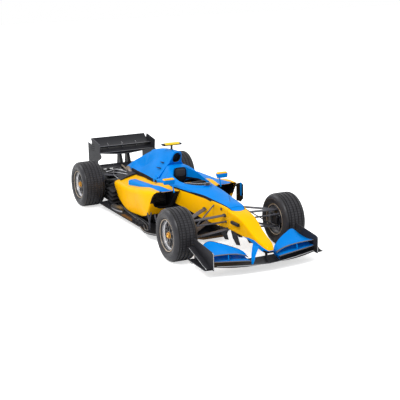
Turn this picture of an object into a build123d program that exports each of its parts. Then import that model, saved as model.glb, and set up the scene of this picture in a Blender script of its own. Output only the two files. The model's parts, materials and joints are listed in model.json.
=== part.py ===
"""Open wheel racing car: single seater with wings, slim nose, sidepods and exposed suspension.

Millimetres. +X ahead, +Y to the driver's left, +Z up. The origin is on the ground, midway
between the front and the back of the car, on its centre plane.
"""
import os
from math import cos, radians, sin

from build123d import *

os.makedirs("parts", exist_ok=True)

# ---------------------------------------------------------------- driving dimensions
wheelbase = 3140
nose_reach = 980          # nose tip ahead of the front axle
tail_reach = 700          # wing end plates behind the rear axle
half_track_outer = 900    # outer faces of the tyres

tyre_radius = 330
front_tyre_width = 300
rear_tyre_width = 335
tyre_shoulder = 58
bead_radius = 186         # where the tyre sits on the rim
flange_height = 14
flange_width = 10
barrel_wall = 8
bead_inset = 26           # from the tyre's widest point to the rim's flange
axle_radius = 22
axle_clearance = 0.05
nut_radius = 38

ground_gap = 50           # below the plank
plank_depth = 35
floor_thickness = 12
kingpin_half_span = 670
kingpin_radius = 8
pin_clearance = 0.05

front_axle_x = (wheelbase + tail_reach - nose_reach) / 2
rear_axle_x = front_axle_x - wheelbase
axle_height = tyre_radius
floor_underside = ground_gap + plank_depth
floor_top = floor_underside + floor_thickness


def front(ahead):
    """A place along the car, given ahead of the front axle."""
    return front_axle_x + ahead


def rear(ahead):
    """A place along the car, given ahead of the rear axle."""
    return rear_axle_x + ahead


def across(x):
    """The upright plane that cuts the car across at x; its own axes are the car's Y and Z."""
    return Plane(origin=(x, 0, 0), x_dir=(0, 1, 0), z_dir=(1, 0, 0))


def along(y):
    """The upright plane that cuts the car lengthwise at y; its own axes are the car's X and Z."""
    return Plane(origin=(0, y, 0), x_dir=(1, 0, 0), z_dir=(0, -1, 0))


def hull_section(x, half_top, top, crown, half_low, low, r_top, r_low):
    """A symmetric section with a crowned top, flat sides and rounded corners."""
    with BuildSketch(across(x)) as section:
        with BuildLine():
            Line((-half_low, low), (half_low, low))
            Line((half_low, low), (half_top, top))
            ThreePointArc((half_top, top), (0, top + crown), (-half_top, top))
            Line((-half_top, top), (-half_low, low))
        make_face()
        fillet(section.vertices().group_by(Axis.Y)[-1], r_top)
        fillet(section.vertices().group_by(Axis.Y)[0], r_low)
    return section.sketch


def strut(start, end, chord, thickness):
    """A straight bar of oval section between two points, its long side along the car."""
    run = Vector(end) - Vector(start)
    direction = run.normalized()
    lengthwise = Vector(1, 0, 0) - direction * direction.X
    with BuildPart() as bar:
        with BuildSketch(Plane(origin=start, x_dir=lengthwise.normalized(), z_dir=direction)):
            Ellipse(chord / 2, thickness / 2)
        extrude(amount=run.length)
    return bar.part


def wing_section(y, lead_x, lead_z, trail_x, trail_z, camber, depth, edge):
    """A wing's section at y: hollow side up, sharp ahead, with a thin blunt edge behind."""
    mid_x, mid_z = (lead_x + trail_x) / 2, (lead_z + trail_z) / 2
    with BuildSketch(along(y)) as section:
        with BuildLine():
            ThreePointArc((lead_x, lead_z), (mid_x, mid_z - camber), (trail_x, trail_z))
            Line((trail_x, trail_z), (trail_x, trail_z - edge))
            ThreePointArc((trail_x, trail_z - edge), (mid_x, mid_z - camber - depth), (lead_x, lead_z))
        make_face()
    return section.sketch


# ---------------------------------------------------------------- nose and monocoque
# ahead of the front axle: half width and height of the top edge, crown, half width and
# height of the bottom edge, corner radii
nose_join = 140
nose_sections = (
    # ahead, half_top, top, crown, half_low, low, r_top, r_low
    (nose_reach, 34, 282, 4, 30, 240, 14, 12),
    (930, 58, 320, 7, 50, 226, 22, 20),
    (780, 82, 371, 9, 72, 252, 26, 22),
    (553, 94, 478, 10, 82, 302, 28, 22),
    (330, 112, 555, 12, 98, 320, 30, 24),
    (nose_join, 127, 596, 15, 113, 325, 32, 24),
)
tub_sections = (
    (nose_join, 127, 596, 15, 113, 325, 32, 24),
    (-150, 144, 626, 22, 128, 318, 34, 24),
    (-450, 165, 648, 40, 150, 290, 36, 24),
    (-700, 192, 655, 50, 172, 190, 38, 24),
    (-950, 226, 650, 45, 205, floor_top, 36, 20),
    (-1240, 260, 645, 40, 240, floor_top, 34, 20),
    (-1500, 278, 640, 40, 255, floor_top, 34, 20),
    (-1700, 280, 632, 40, 255, floor_top, 34, 20),
)
cockpit_wall = 26
cockpit_front = -700
cockpit_back = -1480
cockpit_floor = floor_top + cockpit_wall
tunnel_front = -330
tunnel_half = 118
tunnel_low, tunnel_top = 345, 520

# half width of the cockpit's opening along the car
opening_half = ((-655, 0), (-760, 78), (-900, 142), (-1090, 184), (-1300, 186), (-1430, 120), (-1480, 84))
rack_ahead = 90
rack_height = 420
rack_radius = 11
rack_tunnel_radius = 20
column_height_at_dash = 600
column_dash_ahead = -690
column_tilt = 12
column_radius = 11

with BuildPart() as nose_cone:
    loft(sections=[hull_section(front(row[0]), *row[1:]) for row in nose_sections])

with BuildPart() as opening_prism:
    with BuildSketch(Plane.XY.offset(cockpit_floor)):
        with BuildLine():
            left = [(front(a), half) for a, half in opening_half]
            right = [(x, -half) for x, half in reversed(left[1:])]
            Polyline(*left, *right, close=True)
        make_face()
    extrude(amount=900)

# the tub's outer shape, which its neighbours fit round
with BuildPart() as tub_shell:
    loft(sections=[hull_section(front(row[0]), *row[1:]) for row in tub_sections])

with BuildPart() as monocoque:
    add(tub_shell.part)
    # the driver's space, the walls one thickness all round
    cavity_rows = [row for row in tub_sections if cockpit_back - 30 <= row[0] <= cockpit_front]
    loft(
        sections=[
            hull_section(
                front(a), half_top - cockpit_wall, top - cockpit_wall, crown - 8,
                half_low - cockpit_wall, low + cockpit_wall, r_top, r_low,
            )
            for a, half_top, top, crown, half_low, low, r_top, r_low in cavity_rows
        ],
        mode=Mode.SUBTRACT,
    )
    add(opening_prism.part, mode=Mode.SUBTRACT)
    # its underside is flat where it stands on the floor
    with Locations((0, 0, floor_top / 2)):
        Box(4000, 800, floor_top, mode=Mode.SUBTRACT)
    # the footwell ahead of the driver's space
    with Locations(((front(tunnel_front) + front(cockpit_front)) / 2, 0, (tunnel_low + tunnel_top) / 2)):
        Box(cockpit_front * -1 + tunnel_front + 4, 2 * tunnel_half, tunnel_top - tunnel_low, mode=Mode.SUBTRACT)
    # the steering rack crosses the footwell's front in its own tunnel
    with BuildSketch(along(0)):
        with Locations((front(rack_ahead), rack_height)):
            Circle(rack_tunnel_radius)
    extrude(amount=300, both=True, mode=Mode.SUBTRACT)

# ---------------------------------------------------------------- cockpit surround
surround_sections = (
    # ahead, half_top, top, crown, half_low, low, r_top, r_low
    (-640, 44, 716, 8, 120, 668, 16, 4),
    (-760, 110, 704, 8, 176, 662, 20, 4),
    (-1000, 186, 694, 6, 230, 648, 20, 4),
    (-1240, 204, 722, 8, 256, 642, 24, 4),
    (-1480, 168, 786, 12, 266, 636, 36, 4),
    (-1640, 120, 806, 14, 240, 630, 40, 4),
)
headrest_half = 72
headrest_low, headrest_top = 652, 778
headrest_back, headrest_front = -1545, -1476

with BuildPart() as cockpit_surround:
    loft(sections=[hull_section(front(row[0]), *row[1:]) for row in surround_sections])
    add(opening_prism.part, mode=Mode.SUBTRACT)
    with BuildSketch(across(front(headrest_back))):
        with Locations((0, (headrest_low + headrest_top) / 2)):
            RectangleRounded(2 * headrest_half, headrest_top - headrest_low, 45)
    extrude(amount=headrest_front - headrest_back + 10, mode=Mode.SUBTRACT)
    add(tub_shell.part, mode=Mode.SUBTRACT)

with BuildPart() as headrest:
    with BuildSketch(across(front(headrest_back))):
        with Locations((0, (headrest_low + headrest_top) / 2)):
            RectangleRounded(2 * headrest_half, headrest_top - headrest_low, 45)
    extrude(amount=headrest_front - headrest_back)
    add(tub_shell.part, mode=Mode.SUBTRACT)

# ---------------------------------------------------------------- seat and steering wheel
seat_half = 165
seat_shell = 14
seat_rear, seat_front = -1440, -900

with BuildPart() as seat:
    with BuildSketch(along(0)):
        with BuildLine():
            Polyline(
                (front(seat_front), cockpit_floor), (front(seat_rear), cockpit_floor),
                (front(seat_rear - 30), 560), (front(seat_rear), 560),
                (front(seat_rear + 130), 200), (front(seat_front - 40), 180), (front(seat_front), 230),
                close=True,
            )
        make_face()
    extrude(amount=seat_half, both=True)
    for side in (1, -1):
        with BuildSketch(along(side * (seat_half - 30))):
            with BuildLine():
                Polyline(
                    (front(seat_front), 150), (front(seat_rear + 20), 150),
                    (front(seat_rear), 520), (front(seat_rear + 110), 520),
                    (front(seat_front - 60), 330), (front(seat_front), 320),
                    close=True,
                )
            make_face()
        extrude(amount=-side * 30)
    add(monocoque.part, mode=Mode.SUBTRACT)

dash_point = (front(column_dash_ahead), 0, column_height_at_dash)
column_direction = Vector(-cos(radians(column_tilt)), 0, sin(radians(column_tilt)))
column_bore_depth = 12
wheel_distance = 232
dash_size = (40, 290, 76)
wheel_half_width, wheel_half_height, wheel_thickness = 120, 66, 26
column_plane = Plane(origin=dash_point, x_dir=(0, 1, 0), z_dir=column_direction)

with BuildPart() as dash_cut:
    with BuildSketch(column_plane.offset(-column_bore_depth)):
        Circle(column_radius + axle_clearance)
    extrude(amount=column_bore_depth + dash_size[0])

with BuildPart() as dashboard:
    with Locations((front(column_dash_ahead) - 14, 0, column_height_at_dash - 10)):
        Box(*dash_size)
    add(monocoque.part, mode=Mode.SUBTRACT)
    add(cockpit_surround.part, mode=Mode.SUBTRACT)
    add(dash_cut.part, mode=Mode.SUBTRACT)

with BuildPart() as steering_wheel:
    with BuildSketch(column_plane.offset(wheel_distance)):
        RectangleRounded(2 * wheel_half_width, 2 * wheel_half_height, 40)
        for side in (1, -1):
            with Locations((side * 78, -8)):
                RectangleRounded(40, 74, 17, mode=Mode.SUBTRACT)
    extrude(amount=wheel_thickness)
    with BuildSketch(column_plane.offset(1 - column_bore_depth)):
        Circle(column_radius)
    extrude(amount=column_bore_depth - 1 + wheel_distance)

# ---------------------------------------------------------------- engine cover with airbox
cover_sections = (
    # ahead, spine half, spine height, shoulder half, shoulder height, low half, low height
    (-1500, 54, 1012, 86, 852, 250, 660),
    (-1700, 50, 1004, 96, 850, 272, 622),
    (-1950, 42, 982, 98, 852, 258, 606),
    (-2300, 30, 912, 98, 722, 222, 590),
    (-2700, 24, 778, 88, 628, 174, 570),
    (-3220, 14, 552, 46, 528, 92, 508),
)
cover_base = 480
airbox_mouth_half = 57
airbox_low, airbox_top = 850, 992
airbox_depth = 260
intake_lean_top, intake_lean_low = -1512, -1632
intake_lip = 812


def cover_section(x, spine_half, spine, shoulder_half, shoulder, low_half, low, base):
    """The cover's section: a fin on a shoulder that spreads down to the sidepods."""
    with BuildSketch(across(x)) as section:
        with BuildLine():
            half = [(spine_half, spine), (shoulder_half, shoulder), (low_half, low), (low_half, base)]
            Polyline(*half, *[(-y, z) for y, z in reversed(half)], close=True)
        make_face()
        tops = section.vertices().group_by(Axis.Y)
        fillet(tops[-1], spine_half * 0.8)
        shoulders = [v for v in section.vertices() if abs(v.Y - shoulder) < 1e-3]
        fillet(shoulders, 40)
        lows = [v for v in section.vertices() if abs(v.Y - low) < 1e-3]
        fillet(lows, 8)
    return section.sketch


with BuildPart() as engine_cover:
    loft(sections=[cover_section(front(row[0]), *row[1:], cover_base) for row in cover_sections])
    # the intake leans back from its top lip
    with BuildSketch(along(0)):
        with BuildLine():
            Polyline(
                (front(intake_lean_top), 1040), (front(intake_lean_low), intake_lip),
                (front(-1655), 400), (front(-1400), 400), (front(-1400), 1040), close=True,
            )
        make_face()
    extrude(amount=400, both=True, mode=Mode.SUBTRACT)
    with BuildSketch(across(front(intake_lean_top) + 20)):
        with Locations((0, (airbox_low + airbox_top) / 2)):
            RectangleRounded(2 * airbox_mouth_half, airbox_top - airbox_low, 50)
    extrude(amount=-airbox_depth - 20, mode=Mode.SUBTRACT)
    add(tub_shell.part, mode=Mode.SUBTRACT)
    add(cockpit_surround.part, mode=Mode.SUBTRACT)

# ---------------------------------------------------------------- engine and gearbox
engine_front, engine_back = -1705, -2330
engine_half, engine_top = 215, 470
gearbox_sections = (
    # ahead of the front axle, half width top, top, crown, half width low, low, r_top, r_low
    (-2335, 150, 440, 4, 150, 120, 30, 30),
    (-2800, 112, 440, 4, 100, 130, 30, 30),
    (-3140, 90, 430, 4, 76, 160, 30, 30),
    (-3300, 66, 420, 4, 54, 240, 24, 24),
)
crash_back = -3745
crash_half, crash_low, crash_top = 44, 300, 392

with BuildPart() as engine_block:
    with Locations(((front(engine_front) + front(engine_back)) / 2, 0, (floor_top + engine_top) / 2)):
        Box(engine_front - engine_back, 2 * engine_half, engine_top - floor_top)

with BuildPart() as gearbox:
    loft(sections=[hull_section(front(row[0]), *row[1:]) for row in gearbox_sections])
    loft(sections=[
        hull_section(front(-3300), 60, 414, 3, 52, 262, 18, 18),
        hull_section(front(crash_back), crash_half, crash_top, 2, crash_half, crash_low, 16, 16),
    ])

with BuildPart() as rain_light:
    with BuildSketch(across(front(crash_back))):
        with Locations((0, (crash_low + crash_top) / 2)):
            RectangleRounded(60, 72, 8)
    extrude(amount=-18)

# ---------------------------------------------------------------- sidepods
sidepod_sections = (
    # ahead, inner half, inner top, outer top half, outer top, low half, low, foot half, top and low radii
    (-930, 200, 634, 640, 636, 560, 380, 330, 46, 60),
    (-1240, 250, 634, 670, 604, 612, 245, 380, 58, 60),
    (-1500, 265, 615, 668, 562, 580, 185, 430, 58, 55),
    (-1900, 235, 572, 624, 512, 565, 140, 440, 58, 55),
    (-2300, 200, 545, 560, 462, 530, 165, 430, 58, 55),
    (-2640, 145, 520, 496, 424, 462, 200, 380, 52, 50),
    (-2770, 126, 500, 466, 400, 432, 250, 330, 42, 40),
    (-2820, 112, 470, 436, 380, 404, 290, 300, 30, 28),
)
inlet_outline = ((300, 602), (600, 602), (590, 525), (512, 390), (300, 370))
inlet_corner = 30
inlet_depth = 330
lean_top_ahead, lean_top_z = -952, 640
lean_low_ahead, lean_low_z = -1235, 235
chimney_outlet = -2000
chimney_run = 700
chimney_ramp = 220
chimney_centre, chimney_width = 482, 126
chimney_base, chimney_top = 440, 586
chimney_corner = 26
chimney_wall = 12
chimney_mouth, chimney_depth = 50, 170
chimney_direction = Vector(870, -40, 34).normalized()


def sidepod_section(x, inner, inner_top, outer, outer_top, low_half, low, foot, r_top, r_low):
    """One sidepod's section, from the body's side out to the shoulder and under to the floor."""
    with BuildSketch(across(x)) as section:
        with BuildLine():
            Polyline(
                (inner, inner_top), (outer, outer_top), (low_half, low), (foot, floor_top), (inner, floor_top),
                close=True,
            )
        make_face()
        corners = section.vertices()
        fillet([v for v in corners if abs(v.Y - outer_top) < 1e-3 and abs(v.X - outer) < 1e-3], r_top)
        fillet([v for v in section.vertices() if abs(v.Y - low) < 1e-3 and abs(v.X - low_half) < 1e-3], r_low)
    return section.sketch


with BuildPart() as sidepod_left:
    loft(sections=[sidepod_section(front(row[0]), *row[1:]) for row in sidepod_sections])
    # the leading edge leans back towards the floor
    with BuildSketch(along(0)):
        with BuildLine():
            Polyline(
                (front(lean_top_ahead), 760), (front(lean_top_ahead), lean_top_z),
                (front(lean_low_ahead), lean_low_z), (front(lean_low_ahead) - 20, 0),
                (front(-900), 0), (front(-900), 760), close=True,
            )
        make_face()
    extrude(amount=-900, mode=Mode.SUBTRACT)
    # the air inlet
    with BuildSketch(across(front(lean_top_ahead))) as inlet:
        with BuildLine():
            Polyline(*inlet_outline, close=True)
        make_face()
        fillet(inlet.vertices(), inlet_corner)
    extrude(amount=-inlet_depth, mode=Mode.SUBTRACT)
    for neighbour in (tub_shell, cockpit_surround, engine_cover, engine_block, gearbox):
        add(neighbour.part, mode=Mode.SUBTRACT)

with BuildPart() as sidepod_right:
    mirror(sidepod_left.part, about=Plane.XZ)

# the fairings on the sidepods that end in a hot air outlet
with BuildPart() as chimneys:
    outlet_plane = across(front(chimney_outlet))
    outlet_middle = (chimney_base + chimney_top) / 2
    with BuildSketch(outlet_plane):
        with Locations((chimney_centre, outlet_middle)):
            RectangleRounded(chimney_width, chimney_top - chimney_base, chimney_corner)
    extrude(amount=chimney_run, dir=chimney_direction)
    with BuildSketch(outlet_plane):
        with Locations((chimney_centre, chimney_top - chimney_wall - chimney_mouth / 2)):
            RectangleRounded(chimney_width - 2 * chimney_wall, chimney_mouth, chimney_corner - chimney_wall)
    extrude(amount=chimney_depth, dir=chimney_direction, mode=Mode.SUBTRACT)
    # its front ramps up out of the sidepod
    ramp_x = front(chimney_outlet) + chimney_run
    with BuildSketch(along(0)):
        with BuildLine():
            Polyline(
                (ramp_x - chimney_ramp, chimney_top + 60), (ramp_x + 10, chimney_top - 30),
                (ramp_x + 10, chimney_top + 60), close=True,
            )
        make_face()
    extrude(amount=-900, mode=Mode.SUBTRACT)
    add(sidepod_left.part, mode=Mode.SUBTRACT)
    mirror(about=Plane.XZ)

# ---------------------------------------------------------------- floor and diffuser
plank_front, plank_back = -470, -3140
plank_half = 250
floor_outline = (
    # ahead of the front axle, half width
    (-450, 0), (-450, 170), (-560, 250), (-1040, 250), (-1060, 560), (-1220, 680), (-2860, 685),
    (-2900, 500), (-3250, 490), (-3250, 0),
)
diffuser_back = -3560
diffuser_rise = 130
diffuser_half = 480
strake_offsets = (150, 300, 474)
strake_thickness = 6

with BuildPart() as floor:
    with BuildSketch(Plane.XY.offset(floor_underside)):
        with BuildLine():
            left = [(front(a), half) for a, half in floor_outline]
            right = [(x, -half) for x, half in reversed(left[1:-1])]
            Polyline(*left, *right, close=True)
        make_face()
    extrude(amount=floor_thickness)
    with BuildSketch(Plane.XY.offset(ground_gap)):
        with BuildLine():
            Polyline(
                (front(plank_front), 150), (front(plank_front - 110), plank_half),
                (front(plank_back), plank_half), (front(plank_back), -plank_half),
                (front(plank_front - 110), -plank_half), (front(plank_front), -150), close=True,
            )
        make_face()
    extrude(amount=plank_depth)

with BuildPart() as diffuser:
    with BuildSketch(along(0)):
        with BuildLine():
            Polyline(
                (front(-3250), floor_underside), (front(-3250), floor_top),
                (front(diffuser_back), floor_top + diffuser_rise),
                (front(diffuser_back), floor_underside + diffuser_rise + 4), close=True,
            )
        make_face()
    extrude(amount=diffuser_half, both=True)
    for offset_y in strake_offsets:
        for side in (1, -1):
            with BuildSketch(along(side * offset_y)):
                with BuildLine():
                    Polyline(
                        (front(-3250), floor_underside), (front(-3250), floor_underside - 20),
                        (front(diffuser_back), floor_underside - 10),
                        (front(diffuser_back), floor_underside + diffuser_rise + 5), close=True,
                    )
                make_face()
            extrude(amount=strake_thickness / 2, both=True)
    add(gearbox.part, mode=Mode.SUBTRACT)

# ---------------------------------------------------------------- bargeboards and vanes
board_thickness = 8
board_points = ((-455, 300), (-740, 400), (-985, 520))
board_outline = (
    # ahead of the front axle, height
    (-400, 290), (-540, 400), (-940, 400), (-985, 370), (-985, floor_top), (-870, floor_top), (-760, 130),
    (-480, 150), (-400, 200),
)
stay_chord, stay_thickness = 60, 10
vane_half = 650
vane_outline = ((-880, 410), (-880, 600), (-940, 620), (-1065, 580), (-1065, 350), (-950, 350))
turning_vanes = (
    # half width where it stands, then its outline: ahead of the front axle and height
    (88, ((150, 340), (300, 340), (390, 190), (300, 172), (205, 240))),
    (98, ((-150, 340), (20, 340), (110, 192), (20, 174), (-80, 242))),
)

with BuildPart() as bargeboards:
    with BuildSketch(Plane.XY.offset(floor_top - 10)):
        with BuildLine():
            outer = ThreePointArc(*[(front(a), y) for a, y in board_points])
            offset(outer, amount=board_thickness / 2, side=Side.BOTH, closed=True)
        make_face()
    extrude(amount=500)
    with BuildSketch(along(0)):
        with BuildLine():
            Polyline(*[(front(a), z) for a, z in board_outline], close=True)
        make_face()
    extrude(amount=-800, mode=Mode.INTERSECT)
    # lower stay to the tub
    add(strut((front(-620), 150, 290), (front(-620), 362, 250), stay_chord, stay_thickness))
    for neighbour in (sidepod_left, monocoque, floor):
        add(neighbour.part, mode=Mode.SUBTRACT)
    mirror(about=Plane.XZ)
    # the tall vane stands at the left side alone
    with BuildSketch(along(vane_half)):
        with BuildLine():
            Polyline(*[(front(a), z) for a, z in vane_outline], close=True)
        make_face()
    extrude(amount=board_thickness / 2, both=True)
    add(strut((front(-1030), 560, 560), (front(-1030), vane_half, 560), stay_chord, stay_thickness))
    add(sidepod_left.part, mode=Mode.SUBTRACT)

with BuildPart() as nose_vanes:
    for half, outline in turning_vanes:
        with BuildSketch(along(half)):
            with BuildLine():
                Polyline(*[(front(a), z) for a, z in outline], close=True)
            make_face()
        extrude(amount=board_thickness / 2, both=True)
    add(nose_cone.part, mode=Mode.SUBTRACT)
    add(monocoque.part, mode=Mode.SUBTRACT)
    mirror(about=Plane.XZ)

# ---------------------------------------------------------------- front wing
front_wing_sections = (
    # half span, lead, lead height, trail, trail height
    (0, 948, 104, 610, 88),
    (300, 936, 105, 600, 92),
    (500, 914, 118, 600, 112),
    (694, 885, 146, 600, 142),
)
front_flap_sets = (
    # the middle element, then the upper one: half span, lead, lead height, trail, trail height, camber
    (
        (206, 846, 140, 650, 168, 10), (430, 838, 164, 640, 206, 14), (694, 815, 188, 640, 216, 14),
    ),
    (
        (206, 778, 180, 690, 214, 8), (330, 786, 224, 600, 268, 18), (440, 790, 242, 545, 306, 26),
        (575, 797, 252, 490, 334, 30), (694, 802, 256, 480, 250, 18),
    ),
)
wing_depth, flap_depth, wing_edge = 12, 7, 3
endplate_half = 700
endplate_thickness = 12
endplate_low = 104
footplate_half = 800
footplate_thickness = 8

with BuildPart() as front_wing:
    rows = [(-half, *rest) for half, *rest in reversed(front_wing_sections[1:])] + list(front_wing_sections)
    loft(
        sections=[
            wing_section(y, front(x0), z0, front(x1), z1, 14, wing_depth, wing_edge) for y, x0, z0, x1, z1 in rows
        ],
    )

with BuildPart() as front_wing_flaps:
    for flap_rows in front_flap_sets:
        loft(
            sections=[
                wing_section(y, front(x0), z0, front(x1), z1, camber, flap_depth, wing_edge)
                for y, x0, z0, x1, z1, camber in flap_rows
            ],
        )
    mirror(about=Plane.XZ)

with BuildPart() as front_wing_endplates:
    with BuildSketch(along(endplate_half)):
        with BuildLine():
            Polyline(
                (front(885), endplate_low), (front(885), 300), (front(860), 312), (front(400), 366),
                (front(390), 355), (front(390), endplate_low), close=True,
            )
        make_face()
    extrude(amount=endplate_thickness / 2, both=True)
    with BuildSketch(Plane.XY.offset(endplate_low)):
        with BuildLine():
            Polyline(
                (front(860), endplate_half), (front(845), footplate_half), (front(360), footplate_half - 20),
                (front(360), endplate_half), close=True,
            )
        make_face()
    extrude(amount=footplate_thickness)
    mirror(about=Plane.XZ)

pillar_rows = (
    # half width, ahead, height, chord: from inside the nose down to the wing
    (50, 745, 318, 170), (112, 795, 205, 130), (178, 850, 96, 120),
)
pillar_half_thickness = 7

with BuildPart() as front_wing_pillars:
    rows = []
    for y, x, z, chord in pillar_rows:
        with BuildSketch(Plane(origin=(front(x), y, z), x_dir=(1, 0, 0), z_dir=(0, 0.4, -1))) as slice_:
            Ellipse(chord / 2, pillar_half_thickness)
        rows.append(slice_.sketch)
    loft(sections=rows)
    add(nose_cone.part, mode=Mode.SUBTRACT)
    add(front_wing.part, mode=Mode.SUBTRACT)
    mirror(about=Plane.XZ)

# ---------------------------------------------------------------- rear wing
rear_wing_half = 455
rear_plate_thickness = 10
rear_plate_outline = (
    # ahead of the rear axle, height
    (-193, 845), (-208, 716), (-158, 692), (-150, 668), (-176, 638), (-300, 585), (-335, 440), (-640, 440),
    (-698, 500), (-698, 812), (-548, 790), (-506, 890), (-478, 890),
)
rear_wing_planes = (
    # lead, lead height, trail, trail height, camber, depth
    (-268, 716, -462, 756, 22, 14),
    (-345, 786, -590, 876, 24, 10),
)
beam_wing = (-170, 484, -340, 514, 18, 10)
pylon_half = 64
pylon_thickness = 8
pylon_outline = ((-300, 400), (-372, 600), (-420, 760), (-500, 760), (-478, 600), (-520, 372), (-420, 372))
wing_inner_half = rear_wing_half - rear_plate_thickness


def wing_plane(builder_rows, half, cut=()):
    lead, lead_z, trail, trail_z, camber, depth = builder_rows
    with BuildPart() as plane_piece:
        loft(
            sections=[
                wing_section(y, rear(lead), lead_z, rear(trail), trail_z, camber, depth, 3)
                for y in (-half, half)
            ],
            ruled=True,
        )
        for neighbour in cut:
            add(neighbour, mode=Mode.SUBTRACT)
    return plane_piece


rear_wing_main = wing_plane(rear_wing_planes[0], wing_inner_half)
rear_wing_flap = wing_plane(rear_wing_planes[1], wing_inner_half, [rear_wing_main.part])
beam = wing_plane(beam_wing, wing_inner_half, [gearbox.part, engine_cover.part])

with BuildPart() as rear_wing_endplates:
    with BuildSketch(along(rear_wing_half - rear_plate_thickness / 2)):
        with BuildLine():
            Polyline(*[(rear(a), z) for a, z in rear_plate_outline], close=True)
        make_face()
    extrude(amount=rear_plate_thickness / 2, both=True)
    mirror(about=Plane.XZ)

with BuildPart() as rear_wing_pylons:
    with BuildSketch(along(pylon_half)):
        with BuildLine():
            Polyline(*[(rear(a), z) for a, z in pylon_outline], close=True)
        make_face()
    extrude(amount=pylon_thickness / 2, both=True)
    # the part above the wing's main plane is taken away
    with BuildSketch(along(0)):
        with BuildLine():
            lead, lead_z, trail, trail_z, camber, depth = rear_wing_planes[0]
            ThreePointArc(
                (rear(lead), lead_z), (rear((lead + trail) / 2), (lead_z + trail_z) / 2 - camber - depth / 2),
                (rear(trail), trail_z),
            )
            Polyline(
                (rear(trail), trail_z), (rear(trail) - 200, trail_z), (rear(trail) - 200, trail_z + 100),
                (rear(lead), trail_z + 100), (rear(lead), lead_z),
            )
        make_face()
    extrude(amount=200, both=True, mode=Mode.SUBTRACT)
    with Locations((rear(-470), (pylon_half + 30) / 2, 380)):
        Box(100, pylon_half - 30 + pylon_thickness, 16)
    for neighbour in (rear_wing_main, gearbox):
        add(neighbour.part, mode=Mode.SUBTRACT)
    mirror(about=Plane.XZ)

# ---------------------------------------------------------------- mirrors, camera bar, nose pods
mirror_centre = (-985, 390, 756)
mirror_size = (46, 160, 54)
camera_x, camera_half, camera_z = -1730, 140, 1078

with BuildPart() as mirrors:
    with BuildSketch(across(front(mirror_centre[0] - mirror_size[0] / 2))):
        with Locations((mirror_centre[1], mirror_centre[2])):
            RectangleRounded(mirror_size[1], mirror_size[2], 20)
    extrude(amount=mirror_size[0], taper=8)
    add(strut((front(-930), 342, 600), (front(mirror_centre[0]), 350, mirror_centre[2] - 20), 34, 12))
    add(sidepod_left.part, mode=Mode.SUBTRACT)
    add(monocoque.part, mode=Mode.SUBTRACT)
    add(cockpit_surround.part, mode=Mode.SUBTRACT)
    mirror(about=Plane.XZ)

with BuildPart() as camera_bar:
    with BuildSketch(across(front(camera_x) - 35)):
        with Locations((0, camera_z)):
            RectangleRounded(2 * camera_half, 26, 12)
    extrude(amount=70)
    add(strut((front(camera_x), 0, 994), (front(camera_x), 0, camera_z), 60, 20))
    add(engine_cover.part, mode=Mode.SUBTRACT)

with BuildPart() as nose_cameras:
    with BuildSketch(across(front(250))):
        with Locations((126, 452)):
            RectangleRounded(34, 40, 12)
    extrude(amount=170)
    add(nose_cone.part, mode=Mode.SUBTRACT)
    mirror(about=Plane.XZ)

# ---------------------------------------------------------------- front suspension
arm_chord, arm_thickness = 46, 15
eye_radius, eye_height = 18, 26
# ahead of the front axle, half width, height: inner ends of the legs
upper_inner = ((70, 120, 500), (-420, 140, 478))
lower_inner = ((120, 105, 335), (-380, 120, 322))
upper_joint_height, lower_joint_height = 455, 236
kingpin = (0, kingpin_half_span)


def wishbone(x_axle, kingpin_y, height, inner_ends, cutters):
    """Two legs that meet in an eye about the kingpin."""
    with BuildPart() as arms:
        for ahead, half, z in inner_ends:
            add(strut((x_axle + ahead, half, z), (x_axle, kingpin_y, height), arm_chord, arm_thickness))
        with Locations((x_axle, kingpin_y, height)):
            Cylinder(eye_radius, eye_height)
            Cylinder(kingpin_radius + pin_clearance, eye_height + 60, mode=Mode.SUBTRACT)
        for neighbour in cutters:
            add(neighbour.part, mode=Mode.SUBTRACT)
        mirror(about=Plane.XZ)
    return arms


front_wishbones_upper = wishbone(
    front_axle_x, kingpin_half_span, upper_joint_height, upper_inner, (monocoque, nose_cone)
)
front_wishbones_lower = wishbone(
    front_axle_x, kingpin_half_span, lower_joint_height, lower_inner, (monocoque, nose_cone)
)

upright_half_x, upright_in, upright_out = 30, 640, 704
stub_out = 850
arm_tip_y = 640

with BuildPart() as front_upright_left:
    with Locations((front_axle_x, (upright_in + upright_out) / 2, (upper_joint_height + lower_joint_height) / 2)):
        Box(2 * upright_half_x, upright_out - upright_in,
            upper_joint_height - lower_joint_height - eye_height - 10)
    with Locations((front_axle_x, kingpin_half_span, (upper_joint_height + lower_joint_height) / 2)):
        Cylinder(kingpin_radius, upper_joint_height - lower_joint_height + eye_height)
    with BuildSketch(along(upright_out)):
        with Locations((front_axle_x, axle_height)):
            Circle(60)
    extrude(amount=-24)
    with BuildSketch(along(upright_out + 20)):
        with Locations((front_axle_x, axle_height)):
            Circle(axle_radius)
    extrude(amount=-(stub_out - upright_out - 20))
    add(strut((front_axle_x + 20, kingpin_half_span, rack_height - 24),
              (front(rack_ahead), arm_tip_y, rack_height - 24), 26, 14))

with BuildPart() as front_upright_right:
    mirror(front_upright_left.part, about=Plane.XZ)

with BuildPart() as track_rods:
    with BuildSketch(along(arm_tip_y)):
        with Locations((front(rack_ahead), rack_height)):
            Circle(rack_radius)
    extrude(amount=2 * arm_tip_y)

with BuildPart() as pushrods:
    add(strut((front_axle_x - 30, 596, 262), (front(-190), 138, 575), 26, 14))
    add(strut((rear_axle_x + 10, 480, 222), (rear(160), 120, 470), 26, 14))
    for neighbour in (monocoque, front_wishbones_lower, engine_cover, gearbox):
        add(neighbour.part, mode=Mode.SUBTRACT)
    mirror(about=Plane.XZ)

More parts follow.
